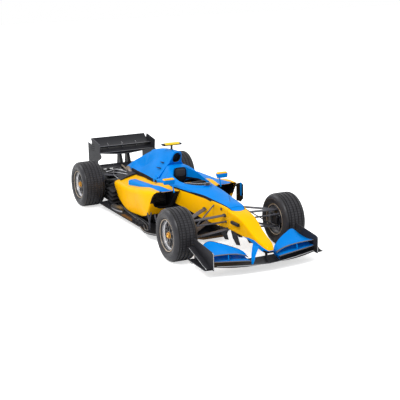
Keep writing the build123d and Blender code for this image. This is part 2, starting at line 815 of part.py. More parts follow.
# ---------------------------------------------------------------- rear suspension
rear_joint_half = 590
rear_upper_height, rear_lower_height = 440, 200
rear_upper_inner = ((300, 100, 430), (-120, 70, 425))
rear_lower_inner = ((276, 96, 175), (-100, 66, 205))
rear_upright_in, rear_upright_out = 560, 640
rear_stub_out = 850


def rear_wishbone(height, inner_ends, cutters):
    with BuildPart() as arms:
        for ahead, half, z in inner_ends:
            add(strut((rear(ahead), half, z), (rear_axle_x, rear_joint_half, height), arm_chord, arm_thickness))
        for neighbour in cutters:
            add(neighbour.part, mode=Mode.SUBTRACT)
        mirror(about=Plane.XZ)
    return arms


with BuildPart() as rear_uprights:
    with Locations((rear_axle_x, (rear_upright_in + rear_upright_out) / 2,
                    (rear_upper_height + rear_lower_height) / 2)):
        Box(70, rear_upright_out - rear_upright_in, rear_upper_height - rear_lower_height + 30)
    with BuildSketch(along(rear_upright_out)):
        with Locations((rear_axle_x, axle_height)):
            Circle(70)
    extrude(amount=-20)
    with BuildSketch(along(rear_upright_out + 18)):
        with Locations((rear_axle_x, axle_height)):
            Circle(axle_radius)
    extrude(amount=-(rear_stub_out - rear_upright_out - 18))
    mirror(about=Plane.XZ)

rear_wishbones_upper = rear_wishbone(rear_upper_height, rear_upper_inner, (rear_uprights, gearbox))
rear_wishbones_lower = rear_wishbone(rear_lower_height, rear_lower_inner, (rear_uprights, gearbox))

with BuildPart() as driveshafts:
    with BuildSketch(along(0)):
        with Locations((rear_axle_x, axle_height)):
            Circle(22)
    extrude(amount=-rear_upright_in)
    add(gearbox.part, mode=Mode.SUBTRACT)
    mirror(about=Plane.XZ)

# ---------------------------------------------------------------- wheels
spoke_count = 10
spoke_root, spoke_tip = 34, 20
hub_radius = 52
spoke_thickness = 24
wheel_sets = (
    # name, axle place, tyre width
    ("front", front_axle_x, front_tyre_width),
    ("rear", rear_axle_x, rear_tyre_width),
)


def tyre_profile(width):
    """Half of the tyre's cut, from bead to bead, about the wheel's own axis."""
    bead_half = width / 2 - bead_inset
    wide = width / 2
    with BuildSketch() as cut:
        with BuildLine():
            Polyline(
                (-bead_half, bead_radius), (-bead_half, bead_radius + flange_height + 4),
                (-wide, bead_radius + flange_height + 30), (-wide, tyre_radius), (wide, tyre_radius),
                (wide, bead_radius + flange_height + 30), (bead_half, bead_radius + flange_height + 4),
                (bead_half, bead_radius), close=True,
            )
        make_face()
        fillet(cut.vertices().group_by(Axis.Y)[-1], tyre_shoulder)
        sides = [v for v in cut.vertices() if abs(v.Y - bead_radius - flange_height - 30) < 1e-3]
        fillet(sides, 24)
    return cut.sketch


wheels = {}
for axle_name, axle_x, width in wheel_sets:
    centre_y = half_track_outer - width / 2
    bead_half = width / 2 - bead_inset
    face = bead_half + flange_width
    spin_axis = Axis((axle_x, 0, axle_height), (0, 1, 0))
    wheel_plane = Plane(origin=(axle_x, centre_y, axle_height), x_dir=(0, 1, 0), z_dir=(1, 0, 0))
    with BuildPart() as tyre:
        with BuildSketch(wheel_plane):
            add(tyre_profile(width))
        revolve(axis=spin_axis)
    with BuildPart() as rim:
        with BuildSketch(wheel_plane):
            with BuildLine():
                Polyline(
                    (-face, bead_radius - barrel_wall), (-face, bead_radius + flange_height),
                    (-bead_half, bead_radius + flange_height), (-bead_half, bead_radius), (bead_half, bead_radius),
                    (bead_half, bead_radius + flange_height), (face, bead_radius + flange_height),
                    (face, bead_radius - barrel_wall), close=True,
                )
            make_face()
        revolve(axis=spin_axis)
        disc_plane = Plane(origin=(axle_x, centre_y + face - 62, axle_height), x_dir=(1, 0, 0), z_dir=(0, 1, 0))
        with BuildSketch(disc_plane):
            Circle(hub_radius)
            with PolarLocations(0, spoke_count):
                Polygon(
                    (20, -spoke_root / 2), (bead_radius - barrel_wall + 2, -spoke_tip / 2),
                    (bead_radius - barrel_wall + 2, spoke_tip / 2), (20, spoke_root / 2), align=None,
                )
            Circle(axle_radius + axle_clearance, mode=Mode.SUBTRACT)
        extrude(amount=spoke_thickness)
        with BuildSketch(disc_plane.offset(spoke_thickness)):
            Circle(nut_radius)
        extrude(amount=30)
        with BuildSketch(disc_plane.offset(spoke_thickness - 1)):
            Circle(axle_radius + axle_clearance)
        extrude(amount=12, mode=Mode.SUBTRACT)
    with BuildPart() as tyre_right:
        mirror(tyre.part, about=Plane.XZ)
    with BuildPart() as rim_right:
        mirror(rim.part, about=Plane.XZ)
    wheels[f"tyre_{axle_name}_left"] = tyre
    wheels[f"tyre_{axle_name}_right"] = tyre_right
    wheels[f"rim_{axle_name}_left"] = rim
    wheels[f"rim_{axle_name}_right"] = rim_right

# ---------------------------------------------------------------- the finished pieces
pieces = {
    "monocoque": monocoque,
    "nose_cone": nose_cone,
    "cockpit_surround": cockpit_surround,
    "headrest": headrest,
    "seat": seat,
    "dashboard": dashboard,
    "steering_wheel": steering_wheel,
    "engine_cover": engine_cover,
    "engine_block": engine_block,
    "gearbox": gearbox,
    "rain_light": rain_light,
    "sidepod_left": sidepod_left,
    "sidepod_right": sidepod_right,
    "chimneys": chimneys,
    "floor": floor,
    "diffuser": diffuser,
    "bargeboards": bargeboards,
    "nose_vanes": nose_vanes,
    "front_wing": front_wing,
    "front_wing_flaps": front_wing_flaps,
    "front_wing_endplates": front_wing_endplates,
    "front_wing_pillars": front_wing_pillars,
    "rear_wing_main": rear_wing_main,
    "rear_wing_flap": rear_wing_flap,
    "beam_wing": beam,
    "rear_wing_endplates": rear_wing_endplates,
    "rear_wing_pylons": rear_wing_pylons,
    "mirrors": mirrors,
    "camera_bar": camera_bar,
    "nose_cameras": nose_cameras,
    "front_wishbones_upper": front_wishbones_upper,
    "front_wishbones_lower": front_wishbones_lower,
    "front_upright_left": front_upright_left,
    "front_upright_right": front_upright_right,
    "track_rods": track_rods,
    "pushrods": pushrods,
    "rear_uprights": rear_uprights,
    "rear_wishbones_upper": rear_wishbones_upper,
    "rear_wishbones_lower": rear_wishbones_lower,
    "driveshafts": driveshafts,
    **wheels,
}
for name, piece in pieces.items():
    piece.part.label = name
    export_step(piece.part, f"parts/{name}.step")
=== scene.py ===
"""Dresses an open wheel racing car: paint, carbon, tyres, wheels, wings, cockpit and running gear.

Metres. +X ahead, +Y to the driver's left, +Z up. Every piece is placed from the frame's own parts.
"""
import json
from math import copysign, cos, degrees, pi, radians, sin, tau

import bpy
from bpy.props import FloatProperty, FloatVectorProperty, IntProperty, PointerProperty
from mathutils import Matrix, Vector

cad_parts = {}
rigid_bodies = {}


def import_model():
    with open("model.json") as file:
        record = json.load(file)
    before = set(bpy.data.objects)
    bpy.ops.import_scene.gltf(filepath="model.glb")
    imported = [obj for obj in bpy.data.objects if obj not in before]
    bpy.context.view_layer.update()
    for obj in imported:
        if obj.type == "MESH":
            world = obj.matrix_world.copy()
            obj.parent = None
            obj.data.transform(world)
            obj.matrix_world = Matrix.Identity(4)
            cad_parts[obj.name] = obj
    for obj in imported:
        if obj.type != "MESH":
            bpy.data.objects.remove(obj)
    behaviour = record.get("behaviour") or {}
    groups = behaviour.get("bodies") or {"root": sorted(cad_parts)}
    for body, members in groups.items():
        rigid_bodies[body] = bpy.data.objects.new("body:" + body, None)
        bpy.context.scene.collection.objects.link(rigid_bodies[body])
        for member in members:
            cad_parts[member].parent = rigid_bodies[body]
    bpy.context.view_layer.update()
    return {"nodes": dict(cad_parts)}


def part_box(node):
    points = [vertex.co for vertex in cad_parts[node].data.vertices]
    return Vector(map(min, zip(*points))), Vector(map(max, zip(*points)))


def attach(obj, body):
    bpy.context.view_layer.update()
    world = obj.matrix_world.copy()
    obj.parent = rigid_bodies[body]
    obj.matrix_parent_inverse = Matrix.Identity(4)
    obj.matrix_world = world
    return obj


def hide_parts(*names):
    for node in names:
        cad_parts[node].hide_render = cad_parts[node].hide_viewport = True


bl_info = {
    "name": "Open Wheel Racing Car",
    "version": (1, 0, 0),
    "blender": (4, 5, 0),
    "location": "View3D > Sidebar > Racing Car",
    "description": "Builds the paint, tyres, wheels, wings and cockpit of an open wheel racing car",
    "category": "Object",
}

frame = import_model()
nodes = frame["nodes"]


def middle(node):
    """The middle of a node's box."""
    low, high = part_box(node)
    return (low + high) / 2


front_axle = middle("rim_front_left")
rear_axle = middle("rim_rear_left")
axles = {"front": front_axle, "rear": rear_axle}
sides = {"left": 1, "right": -1}


def ahead(distance):
    """A place along the car, given ahead of the front axle."""
    return front_axle.x + distance


def upright(half, rows, start=front_axle.x):
    """Points at a half width, from rows of (along the car from a start, height)."""
    return [(start + x, half, z) for x, z in rows]


def route(rows, side=1, start=front_axle.x):
    """Points at a side, from rows of (along the car from a start, half width, height)."""
    return [(start + x, side * y, z) for x, y, z in rows]


def oval(count, power=0.6):
    """Points round an oval with full shoulders, one across and one up, from -1 to 1."""
    turns = (tau * k / count for k in range(count))
    return [tuple(copysign(abs(f(a)) ** power, f(a)) for f in (cos, sin)) for a in turns]


def circle(count):
    """Points round a circle, from -1 to 1."""
    return oval(count, 1)


# ---------------------------------------------------------------- modelling
def pick(piece):
    """Selects a piece alone."""
    bpy.ops.object.select_all(action="DESELECT")
    piece.select_set(True)
    bpy.context.view_layer.objects.active = piece


def start_piece(name):
    """An empty mesh under a name, in edit mode at the frame's origin."""
    bpy.ops.object.select_all(action="DESELECT")
    bpy.ops.mesh.primitive_plane_add(size=1)
    piece = bpy.context.object
    piece.name = piece.data.name = name
    bpy.ops.object.mode_set(mode="EDIT")
    bpy.ops.mesh.select_mode(type="VERT")
    bpy.ops.mesh.select_all(action="SELECT")
    bpy.ops.mesh.delete(type="VERT")
    return piece


def trace(points):
    """In edit mode, draws a line by extruding a vertex from point to point, and selects it."""
    bpy.ops.mesh.select_all(action="DESELECT")
    bpy.ops.mesh.primitive_plane_add(size=0.001, location=points[0])
    bpy.ops.mesh.merge(type="CENTER")
    for here, there in zip(points, points[1:]):
        step = Vector(there) - Vector(here)
        bpy.ops.mesh.extrude_vertices_move(TRANSFORM_OT_translate={"value": step})
    bpy.ops.mesh.select_linked()


def draw(points, fill=True):
    """In edit mode, draws a closed line, with a face in it or without."""
    trace(points)
    bpy.ops.mesh.edge_face_add()
    if not fill:
        bpy.ops.mesh.delete(type="ONLY_FACE")


def close_up():
    """Leaves edit mode with doubles merged and every face pointing outwards."""
    bpy.ops.mesh.select_all(action="SELECT")
    bpy.ops.mesh.remove_doubles(threshold=1e-5)
    bpy.ops.mesh.normals_make_consistent(inside=False)
    bpy.ops.object.mode_set(mode="OBJECT")


def modify(piece, kind, **settings):
    """Adds a modifier to a piece and applies it."""
    pick(piece)
    bpy.ops.object.modifier_add(type=kind)
    modifier = piece.modifiers[-1]
    for key, setting in settings.items():
        setattr(modifier, key, setting)
    bpy.ops.object.modifier_apply(modifier=modifier.name)
    return piece


def round_edges(piece, width):
    """Bevels the sharp edges."""
    return modify(piece, "BEVEL", width=width, segments=2, limit_method="ANGLE",
                  angle_limit=radians(35), use_clamp_overlap=True)


def across_car(piece):
    """Adds the same shape on the other side of the car."""
    modify(piece, "MIRROR", use_axis=(False, True, False), use_mirror_merge=False)
    bpy.ops.object.mode_set(mode="EDIT")
    close_up()
    return piece


def turned(name, profile, centre, side=1, steps=96, angle=tau, start=0.0):
    """A closed profile of (outwards, radius), spun about a wheel's axle."""
    piece = start_piece(name)
    draw([
        (centre.x + radius * sin(start), centre.y + side * out, centre.z + radius * cos(start))
        for out, radius in profile
    ])
    if angle == tau:
        bpy.ops.mesh.delete(type="ONLY_FACE")
        bpy.ops.mesh.select_all(action="SELECT")
    bpy.ops.mesh.spin(steps=steps, angle=angle, center=centre, axis=(0, 1, 0))
    close_up()
    return piece


def plate(name, outline, depth, bevel=0.0015):
    """A flat outline given a thickness, with its edges rounded."""
    piece = start_piece(name)
    draw(outline)
    bpy.ops.mesh.extrude_region_move(TRANSFORM_OT_translate={"value": depth})
    close_up()
    return round_edges(piece, bevel) if bevel else piece


def loft(name, rings, bevel=0.0):
    """Closed rings of the same count bridged in order, with both ends filled."""
    piece = start_piece(name)
    for ring in rings:
        draw(ring, fill=False)
    bpy.ops.mesh.select_all(action="SELECT")
    bpy.ops.mesh.bridge_edge_loops()
    bpy.ops.mesh.select_all(action="SELECT")
    bpy.ops.mesh.fill_holes(sides=0)
    close_up()
    return round_edges(piece, bevel) if bevel else piece


def tube(name, points, radius, smooth=True):
    """A round rod along points."""
    bpy.ops.object.select_all(action="DESELECT")
    bpy.ops.curve.primitive_nurbs_path_add()
    piece = bpy.context.object
    piece.name = piece.data.name = name
    curve = piece.data
    curve.splines.clear()
    spline = curve.splines.new("NURBS" if smooth else "POLY")
    spline.points.add(len(points) - 1)
    for point, place in zip(spline.points, points):
        point.co = (*place, 1)
    if smooth:
        spline.order_u, spline.use_endpoint_u, spline.resolution_u = 3, True, 6
    curve.bevel_depth, curve.bevel_resolution, curve.use_fill_caps = radius, 3, True
    bpy.ops.object.convert(target="MESH")
    piece = bpy.context.object
    bpy.ops.object.mode_set(mode="EDIT")
    close_up()
    return piece


def ribbon(name, points, width):
    """An open line drawn out to a strip, in object mode."""
    piece = start_piece(name)
    trace(points)
    bpy.ops.mesh.extrude_edges_move(TRANSFORM_OT_translate={"value": width})
    bpy.ops.object.mode_set(mode="OBJECT")
    return piece


def copy_of(node, name):
    """A new piece with the shape of one of the car's own parts, merged to one skin."""
    piece = bpy.data.objects.new(name, nodes[node].data.copy())
    bpy.context.collection.objects.link(piece)
    piece.data.name = name
    pick(piece)
    bpy.ops.object.mode_set(mode="EDIT")
    close_up()
    return piece


def hollow(piece, rule, rim, push):
    """Insets the faces whose centre a rule accepts and pushes them in, which opens a duct."""
    pick(piece)
    bpy.ops.object.mode_set(mode="EDIT")
    bpy.ops.mesh.select_mode(type="FACE")
    bpy.ops.mesh.select_all(action="DESELECT")
    bpy.ops.object.mode_set(mode="OBJECT")
    for face in piece.data.polygons:
        face.select = rule(face.center)
    bpy.ops.object.mode_set(mode="EDIT")
    bpy.ops.mesh.inset(thickness=rim)
    bpy.ops.mesh.extrude_region_move(TRANSFORM_OT_translate={"value": push})
    close_up()


def join(name, pieces):
    """Joins pieces to one under a name."""
    bpy.ops.object.select_all(action="DESELECT")
    for piece in pieces:
        piece.select_set(True)
    bpy.context.view_layer.objects.active = pieces[0]
    bpy.ops.object.join()
    pieces[0].name = pieces[0].data.name = name
    return pieces[0]


def around(piece, centre, count):
    """Repeats a piece around a wheel's axle, in the same mesh."""
    pick(piece)
    bpy.ops.object.mode_set(mode="EDIT")
    bpy.ops.mesh.select_all(action="SELECT")
    for _ in range(count - 1):
        bpy.ops.mesh.duplicate()
        bpy.ops.transform.rotate(value=tau / count, orient_axis="Y", center_override=centre)
    close_up()
    return piece


def done(piece, look="carbon_weave", angle=35, body="chassis"):
    """Smooths a piece, gives it its finish and lets it ride on its body."""
    pick(piece)
    bpy.ops.object.shade_smooth_by_angle(angle=radians(angle))
    piece.data.materials.clear()
    piece.data.materials.append(bpy.data.materials[look])
    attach(piece, body)
    return piece


def both_sides(name, pieces, look="carbon_weave", angle=35):
    """Joins the left side's pieces, adds the right side's and finishes them."""
    return done(across_car(join(name, pieces)), look, angle)


# ---------------------------------------------------------------- materials
class Value:
    """A number or vector that changes over a surface, with ordinary arithmetic on it."""

    def __init__(self, paint, socket):
        self.paint = paint
        self.socket = socket

    def __add__(self, other):
        return self.paint.maths("ADD", self, other)

    def __sub__(self, other):
        return self.paint.maths("SUBTRACT", self, other)

    def __rsub__(self, other):
        return self.paint.maths("SUBTRACT", other, self)

    def __mul__(self, other):
        return self.paint.maths("MULTIPLY", self, other)

    def __truediv__(self, other):
        return self.paint.maths("DIVIDE", self, other)

    def __gt__(self, other):
        return self.paint.maths("GREATER_THAN", self, other)

    def __lt__(self, other):
        return self.paint.maths("LESS_THAN", self, other)

    def __abs__(self):
        return self.paint.maths("ABSOLUTE", self)

    __radd__ = __add__
    __rmul__ = __mul__


class Nodes:
    """Shader nodes in the making, which arithmetic and node() add to a material or a world."""

    def __init__(self, owner, shader):
        owner.use_nodes = True
        self.tree = owner.node_tree
        self.shader = self.tree.nodes[shader]

    def node(self, kind, settings=None, values=None, output=0):
        """Adds a node of any kind, with its settings first and then its sockets' values or links."""
        made = self.tree.nodes.new(kind)
        for key, setting in (settings or {}).items():
            if key == "stops":
                ramp = made.color_ramp
                for _ in setting[2:]:
                    ramp.elements.new(0.5)
                for stop, (place, colour) in zip(ramp.elements, setting):
                    stop.position, stop.color = place, (*colour, 1)
            elif key == "points":
                curve = made.mapping.curves[0]
                for _ in setting[2:]:
                    curve.points.new(0.5, 0.5)
                for point, place in zip(curve.points, setting):
                    point.location, point.handle_type = place, "VECTOR"
                made.mapping.update()
            else:
                setattr(made, key, setting)
        for key, value in (values or {}).items():
            self.join(value, made.inputs[key])
        return Value(self, made.outputs[output])

    def join(self, value, socket):
        """Links a value to a socket, or sets the socket to a plain number or colour."""
        if isinstance(value, Value):
            self.tree.links.new(value.socket, socket)
        else:
            socket.default_value = (*value, 1) if socket.type == "RGBA" else value

    def maths(self, operation, *terms):
        """One Math node on values and numbers."""
        return self.node("ShaderNodeMath", {"operation": operation}, dict(enumerate(terms)))

    def any_of(self, first, *others):
        """The largest of some masks."""
        for other in others:
            first = self.maths("MAXIMUM", first, other)
        return first

    def mix(self, mask, off, on):
        """A colour that goes from off to on with the mask."""
        return self.node(
            "ShaderNodeMix", {"data_type": "RGBA"}, {"Factor": mask, "A": off, "B": on}, "Result"
        )

    def finish(self, **sockets):
        """Sets the shader's own sockets by name, with _ for a space."""
        for name, value in sockets.items():
            self.join(value, self.shader.inputs[name.replace("_", " ")])


class Paint(Nodes):
    """A material in the making, with the place on the car to draw it by."""

    def __init__(self, name):
        self.material = bpy.data.materials.new(name)
        super().__init__(self.material, "Principled BSDF")
        self.place = self.node("ShaderNodeTexCoord", output="Object")
        self.x, self.y, self.z = self.axes(self.place)

    def axes(self, vector):
        """A vector's parts along, across and up."""
        return (self.node("ShaderNodeSeparateXYZ", {}, {0: vector}, axis) for axis in "XYZ")

    def facing(self):
        """How far a face looks ahead, away from the car's middle plane, and up."""
        forwards, side, up = self.axes(self.node("ShaderNodeNewGeometry", output="Normal"))
        return forwards, side * self.y, up

    def waves(self, value, rate):
        """Even ripples from 0 to 1, rate to the metre in radians."""
        return self.maths("SINE", value * rate) * 0.5 + 0.5

    def along_curve(self, value, points):
        """A smooth function of value through straight runs between points."""
        low, reach = points[0][0], points[-1][0] - points[0][0]
        heights = [height for _, height in points]
        base, rise = min(heights), max(heights) - min(heights)
        curve = [((place - low) / reach, (height - base) / rise) for place, height in points]
        share = self.node("ShaderNodeFloatCurve", {"points": curve}, {"Value": (value - low) / reach})
        return share * rise + base

    def edge(self, rows):
        """A function of the distance along the car from a table of (ahead, value)."""
        return self.along_curve(self.x, [(ahead(distance), value) for distance, value in rows])

    def stretch(self, back, fore):
        """A mask of the car's length between two places ahead of the front axle."""
        return (self.x > ahead(back)) * (self.x < ahead(fore))

    def seam(self, *joins):
        """A mask of the thin seams between panels, at places ahead of the front axle."""
        return self.any_of(*(abs(self.x - ahead(place)) < seam_half for place in joins))

    def polar(self, centre):
        """The distance from a wheel's axle, and the angle around it."""
        along, up = self.x - centre.x, self.z - centre.z
        return self.maths("SQRT", along * along + up * up), self.maths("ARCTAN2", along, up)

    def noise(self, scale, detail=3.0, stretch=(1, 1, 1)):
        """Soft uneven grain, scale to the metre, stretched along an axis."""
        moved = self.node("ShaderNodeMapping", {}, {"Vector": self.place, "Scale": stretch})
        return self.node("ShaderNodeTexNoise", {}, {"Vector": moved, "Scale": scale, "Detail": detail})

    def weave(self):
        """The small squares of woven carbon."""
        return self.node("ShaderNodeTexChecker", {}, {"Vector": self.place, "Scale": 250.0}, "Fac")

    def bump(self, height, strength):
        """A bump of up to a millimetre from a height between nothing and one."""
        return self.node(
            "ShaderNodeBump", {}, {"Height": height, "Strength": strength, "Distance": 0.001}
        )


# ---------------------------------------------------------------- where the colours meet
# Rows of (ahead of the front axle, value).
seam_half = 0.0016
stripe_half = (
    # half width of the blue on top
    (-3.25, 0.1), (-2.89, 0.15), (-2.5, 0.2), (-1.85, 0.27), (-1.37, 0.3), (-1.08, 0.27),
    (-0.74, 0.2), (-0.4, 0.155), (0.13, 0.104), (0.19, 0.086), (0.225, 0.055), (0.245, 0.0),
)
stripe_height = (
    # height of the blue's edge
    (-3.25, 0.49), (-2.89, 0.5), (-2.5, 0.525), (-1.85, 0.585), (-1.37, 0.632), (-1.08, 0.645),
    (-0.74, 0.645), (-0.4, 0.645), (0.13, 0.585), (0.25, 0.55),
)
band_width = (
    # black band outside the blue, widening along the engine cover
    (-3.2, 0.07), (-2.69, 0.05), (-1.9, 0.025), (-1.43, 0.01), (-1.1, 0.0), (-0.5, -0.002),
    (-0.2, -0.009), (1.0, -0.009),
)
tub_bottom = (
    # height below which the tub and nose are bare carbon
    (-1.4, 0.42), (-1.05, 0.4), (-0.8, 0.375), (-0.55, 0.335), (-0.3, 0.315), (0.45, 0.3), (1.0, 0.2),
)
chin_top = (
    # height below which the nose's tip is blue
    (0.4, 0.295), (0.49, 0.322), (0.6, 0.336), (0.72, 0.338), (0.86, 0.305), (1.0, 0.262),
)
pod_bottom = (
    # height below which a sidepod is bare carbon
    (-2.9, 0.24), (-2.59, 0.19), (-2.27, 0.165), (-1.99, 0.14), (-1.5, 0.185), (-1.31, 0.235),
    (-1.2, 0.275), (-1.095, 0.345), (-0.95, 0.39),
)
opening_half = (
    # half width of the dark opening for the driver
    (-1.48, 0.08), (-1.4, 0.1), (-1.32, 0.14), (-1.25, 0.148), (-1.0, 0.15), (-0.85, 0.132),
    (-0.72, 0.085), (-0.64, 0.0),
)
pod_strip_inner = ((-2.2, 0.435), (-1.51, 0.42), (-1.03, 0.355), (-0.9, 0.33))
pod_strip_outer = ((-2.2, 0.475), (-1.95, 0.5), (-1.415, 0.505), (-1.01, 0.525), (-0.9, 0.53))
inlet_edge = (
    # height and half width of the outer edge of an inlet's dark mouth
    (0.34, 0.42), (0.364, 0.49), (0.4, 0.54), (0.44, 0.575), (0.48, 0.594), (0.52, 0.6), (0.585, 0.58),
)


def shaded(colour, share=1.0):
    """A colour, or a darker or lighter one."""
    return tuple(share * c for c in colour)


def gloss(paint, colour, grain):
    """Sets the sockets of gloss paint under lacquer."""
    paint.finish(
        Base_Color=colour, Roughness=0.32 + 0.1 * grain, Coat_Weight=0.04, Coat_Roughness=0.04,
        Specular_IOR_Level=0.03, Normal=paint.bump(grain, 0.05),
    )


def three_colours(paint):
    """The grain, the yellow and the blue that it makes a little uneven, and the black."""
    colours = bpy.context.scene.car_colours
    grain = paint.noise(5.0)
    yellow = paint.mix(grain, shaded(colours.yellow), shaded(colours.yellow, 0.9))
    blue = paint.mix(grain, shaded(colours.blue), shaded(colours.blue, 0.82))
    return grain, yellow, blue, shaded(colours.black)


def body_paint():
    """Paint of the tub, nose and engine cover: blue on top, yellow sides, carbon below."""
    intake_half, intake_tall, intake_height = 0.063, 0.075, 0.917
    paint = Paint("race_paint")
    grain, yellow, blue, black = three_colours(paint)
    half = abs(paint.y)
    edge = paint.edge(stripe_height)
    inside = paint.maths("MINIMUM", paint.edge(stripe_half) - half, paint.z - edge + 0.02)
    chin = (paint.z < paint.edge(chin_top)) * (paint.x > ahead(0.44))
    band = (inside < 0.004) * (inside > -0.016 - paint.edge(band_width)) * (paint.x < ahead(0.268))
    bare = (paint.z < paint.edge(tub_bottom)) * (paint.x < ahead(0.42))
    across, up = half / intake_half, (paint.z - intake_height) / intake_tall
    intake = (across * across + up * up < 1) * paint.stretch(-1.9, -1.53)
    inner_wall = (paint.facing()[1] < -0.002) * (paint.z < edge) * (half < 0.26)
    opening = half < paint.edge(opening_half) + 0.045 * (paint.z < 0.66)
    cavity = opening * (paint.z < 0.735) * paint.stretch(-1.48, -0.64)
    tip = (paint.x > ahead(0.9)) * (paint.z < 0.262)
    dark = paint.any_of(band, bare, intake, tip, inner_wall, cavity, paint.seam(0.145, -1.455) * 0.7)
    colour = paint.mix(paint.any_of(inside > 0, chin), yellow, blue)
    gloss(paint, paint.mix(dark, colour, black), grain)


def pod_paint():
    """Paint of the sidepods: yellow with a blue strip on top and carbon below and inside."""
    paint = Paint("pod_paint")
    grain, yellow, blue, black = three_colours(paint)
    half = abs(paint.y)
    forwards, outwards, up = paint.facing()
    strip = (half > paint.edge(pod_strip_inner)) * (half < paint.edge(pod_strip_outer))
    strip = strip * (paint.z > 0.48) * (up > 0.25) * (paint.x > ahead(-2.02))
    bare = paint.z < paint.edge(pod_bottom)
    lip = (paint.x > ahead(-1.045)) * (half > 0.535)
    duct = (outwards < -0.05) * (1 - lip)
    roof = (up < -0.3) * (paint.z > 0.45)
    sill = (up > 0.3) * (paint.z < 0.5) * (paint.x > ahead(-1.75)) * (half < 0.565)
    root = (half < 0.335) * (paint.z < 0.6) * (paint.x > ahead(-1.6))
    mouth = (half < paint.along_curve(paint.z, inlet_edge)) * (paint.z < 0.583) * (paint.z > 0.345)
    mouth = mouth * (forwards > 0.3) * (paint.x > ahead(-1.3))
    dark = paint.any_of(bare, duct, mouth, roof, sill, root, paint.seam(-1.585, -1.93) * 0.6)
    gloss(paint, paint.mix(dark, paint.mix(strip, yellow, blue), black), grain)


def chimney_paint():
    """Blue outlets, with painted shade in dark brown on the faces of their rear mouths that look down or
    back.
    """
    paint = Paint("chimney_paint")
    grain, _, blue, _ = three_colours(paint)
    forwards, _, up = paint.facing()
    rear_end = paint.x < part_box("chimneys")[0].x + 0.17
    mouth = rear_end * paint.any_of(up < -0.2, forwards < -0.5)
    # painted shade: dark brown standing in for the shade inside the outlets' rear mouths
    stain = paint.mix(grain, (0.05, 0.03, 0.02), (0.14, 0.08, 0.045))
    gloss(paint, paint.mix(mouth, blue, stain), grain)


def trim_paint(name, yellow_above):
    """Blue paint that turns yellow above a height."""
    paint = Paint(name)
    grain, yellow, blue, _ = three_colours(paint)
    gloss(paint, paint.mix(paint.z > yellow_above, blue, yellow), grain)


def flap_paint():
    """Blue wing flaps with a painted highlight in grey along their leading edges."""
    paint = Paint("flap_paint")
    grain, _, blue, _ = three_colours(paint)
    half = abs(paint.y)
    middle_lead = paint.along_curve(half, [(0.19, 0.848), (0.43, 0.838), (0.7, 0.815)])
    upper_lead = paint.along_curve(half, [(0.19, 0.779), (0.33, 0.786), (0.44, 0.79), (0.7, 0.802)])
    upper = paint.z > 0.16 + (half - 0.206) * 0.13
    lead = paint.maths("MULTIPLY_ADD", upper_lead - middle_lead, upper, middle_lead)
    # painted highlight: a grey strip along each flap's leading edge
    bare = paint.x > lead + (front_axle.x - 0.013)
    gloss(paint, paint.mix(bare, blue, (0.11, 0.11, 0.12)), grain)


def vane_paint():
    """Carbon vanes with an upright blue stripe near the top of their outer panels."""
    paint = Paint("vane_paint")
    grain, _, blue, black = three_colours(paint)
    stripe = paint.stretch(-0.955, -0.912) * (abs(paint.y) > 0.6) * (paint.z > 0.44)
    gloss(paint, paint.mix(stripe, black, blue), grain)


def carbon(name, lightness=1.0, roughness=0.36):
    """Black woven carbon under a clear coat."""
    black = shaded(bpy.context.scene.car_colours.black, lightness)
    paint = Paint(name)
    weave, haze = paint.weave(), paint.noise(9.0, 4.0)
    shade = paint.mix(weave * 0.5 + haze * 0.5, black, shaded(black, 2.6))
    paint.finish(Base_Color=shade, Roughness=roughness + 0.12 * haze, Coat_Weight=0.03,
                 Coat_Roughness=0.12, Specular_IOR_Level=0.1, Normal=paint.bump(weave, 0.04))


def rubber(name, centre):
    """Grooved tyre rubber, with fine cross ribs on the tread, dust on the walls, and painted shade, near
    black, on the groove walls and the tread's rounded edges.
    """
    colour = bpy.context.scene.car_colours.rubber
    tread_start, groove_shade_top, wall_top, cross_ribs = 0.3225, 0.3262, 0.30, 64.0
    paint = Paint(name)
    radius, turn = paint.polar(centre)
    tread = radius > tread_start
    cuts = tread * (paint.maths("SINE", turn * cross_ribs) > 0.45)
    dust = paint.noise(14.0, 6.0)
    shade = paint.mix(dust, shaded(colour, 0.5), shaded(colour, 1.9))
    shade = paint.mix(cuts * 0.7, shade, shaded(colour, 0.25))
    # painted shade: near black where the tread lies between these two radii, on the groove walls and the
    # tread's rounded edges
    shade = paint.mix((radius < groove_shade_top) * tread, shade, (0.002, 0.002, 0.002))
    rings = paint.maths("SINE", radius * 2400.0) * 0.12 * (radius < wall_top)
    paint.finish(Base_Color=shade, Roughness=0.33 + 0.22 * (tread * dust), Specular_IOR_Level=0.22,
                 Normal=paint.bump(dust * 0.25 + rings - cuts * 0.6, 0.6))


def wheel_metal(name, centre):
    """Forged wheel: dark spokes, a painted reflection as a bright metal ring on the barrel step, and a
    sand coloured outer ring.
    """
    step_inner, step_outer, ring_inner = 0.1605, 0.1785, 0.1885
    paint = Paint(name)
    radius, _ = paint.polar(centre)
    grain = paint.noise(90.0, 2.0)
    dark = paint.mix(grain, (0.03, 0.03, 0.032), (0.06, 0.06, 0.063))
    # painted reflection: the barrel step is made pale and more metallic all round, standing in for the
    # light seen on it
    painted_glint = (radius > step_inner) * (radius < step_outer)
    colour = paint.mix(painted_glint, dark, (0.6, 0.6, 0.62))
    colour = paint.mix(radius > ring_inner, colour, (0.4, 0.32, 0.24))
    turning = paint.bump(paint.maths("SINE", radius * 3000.0), 0.08)
    paint.finish(Base_Color=colour, Roughness=0.26 + 0.12 * grain, Metallic=0.35 + 0.55 * painted_glint,
                 Normal=turning)


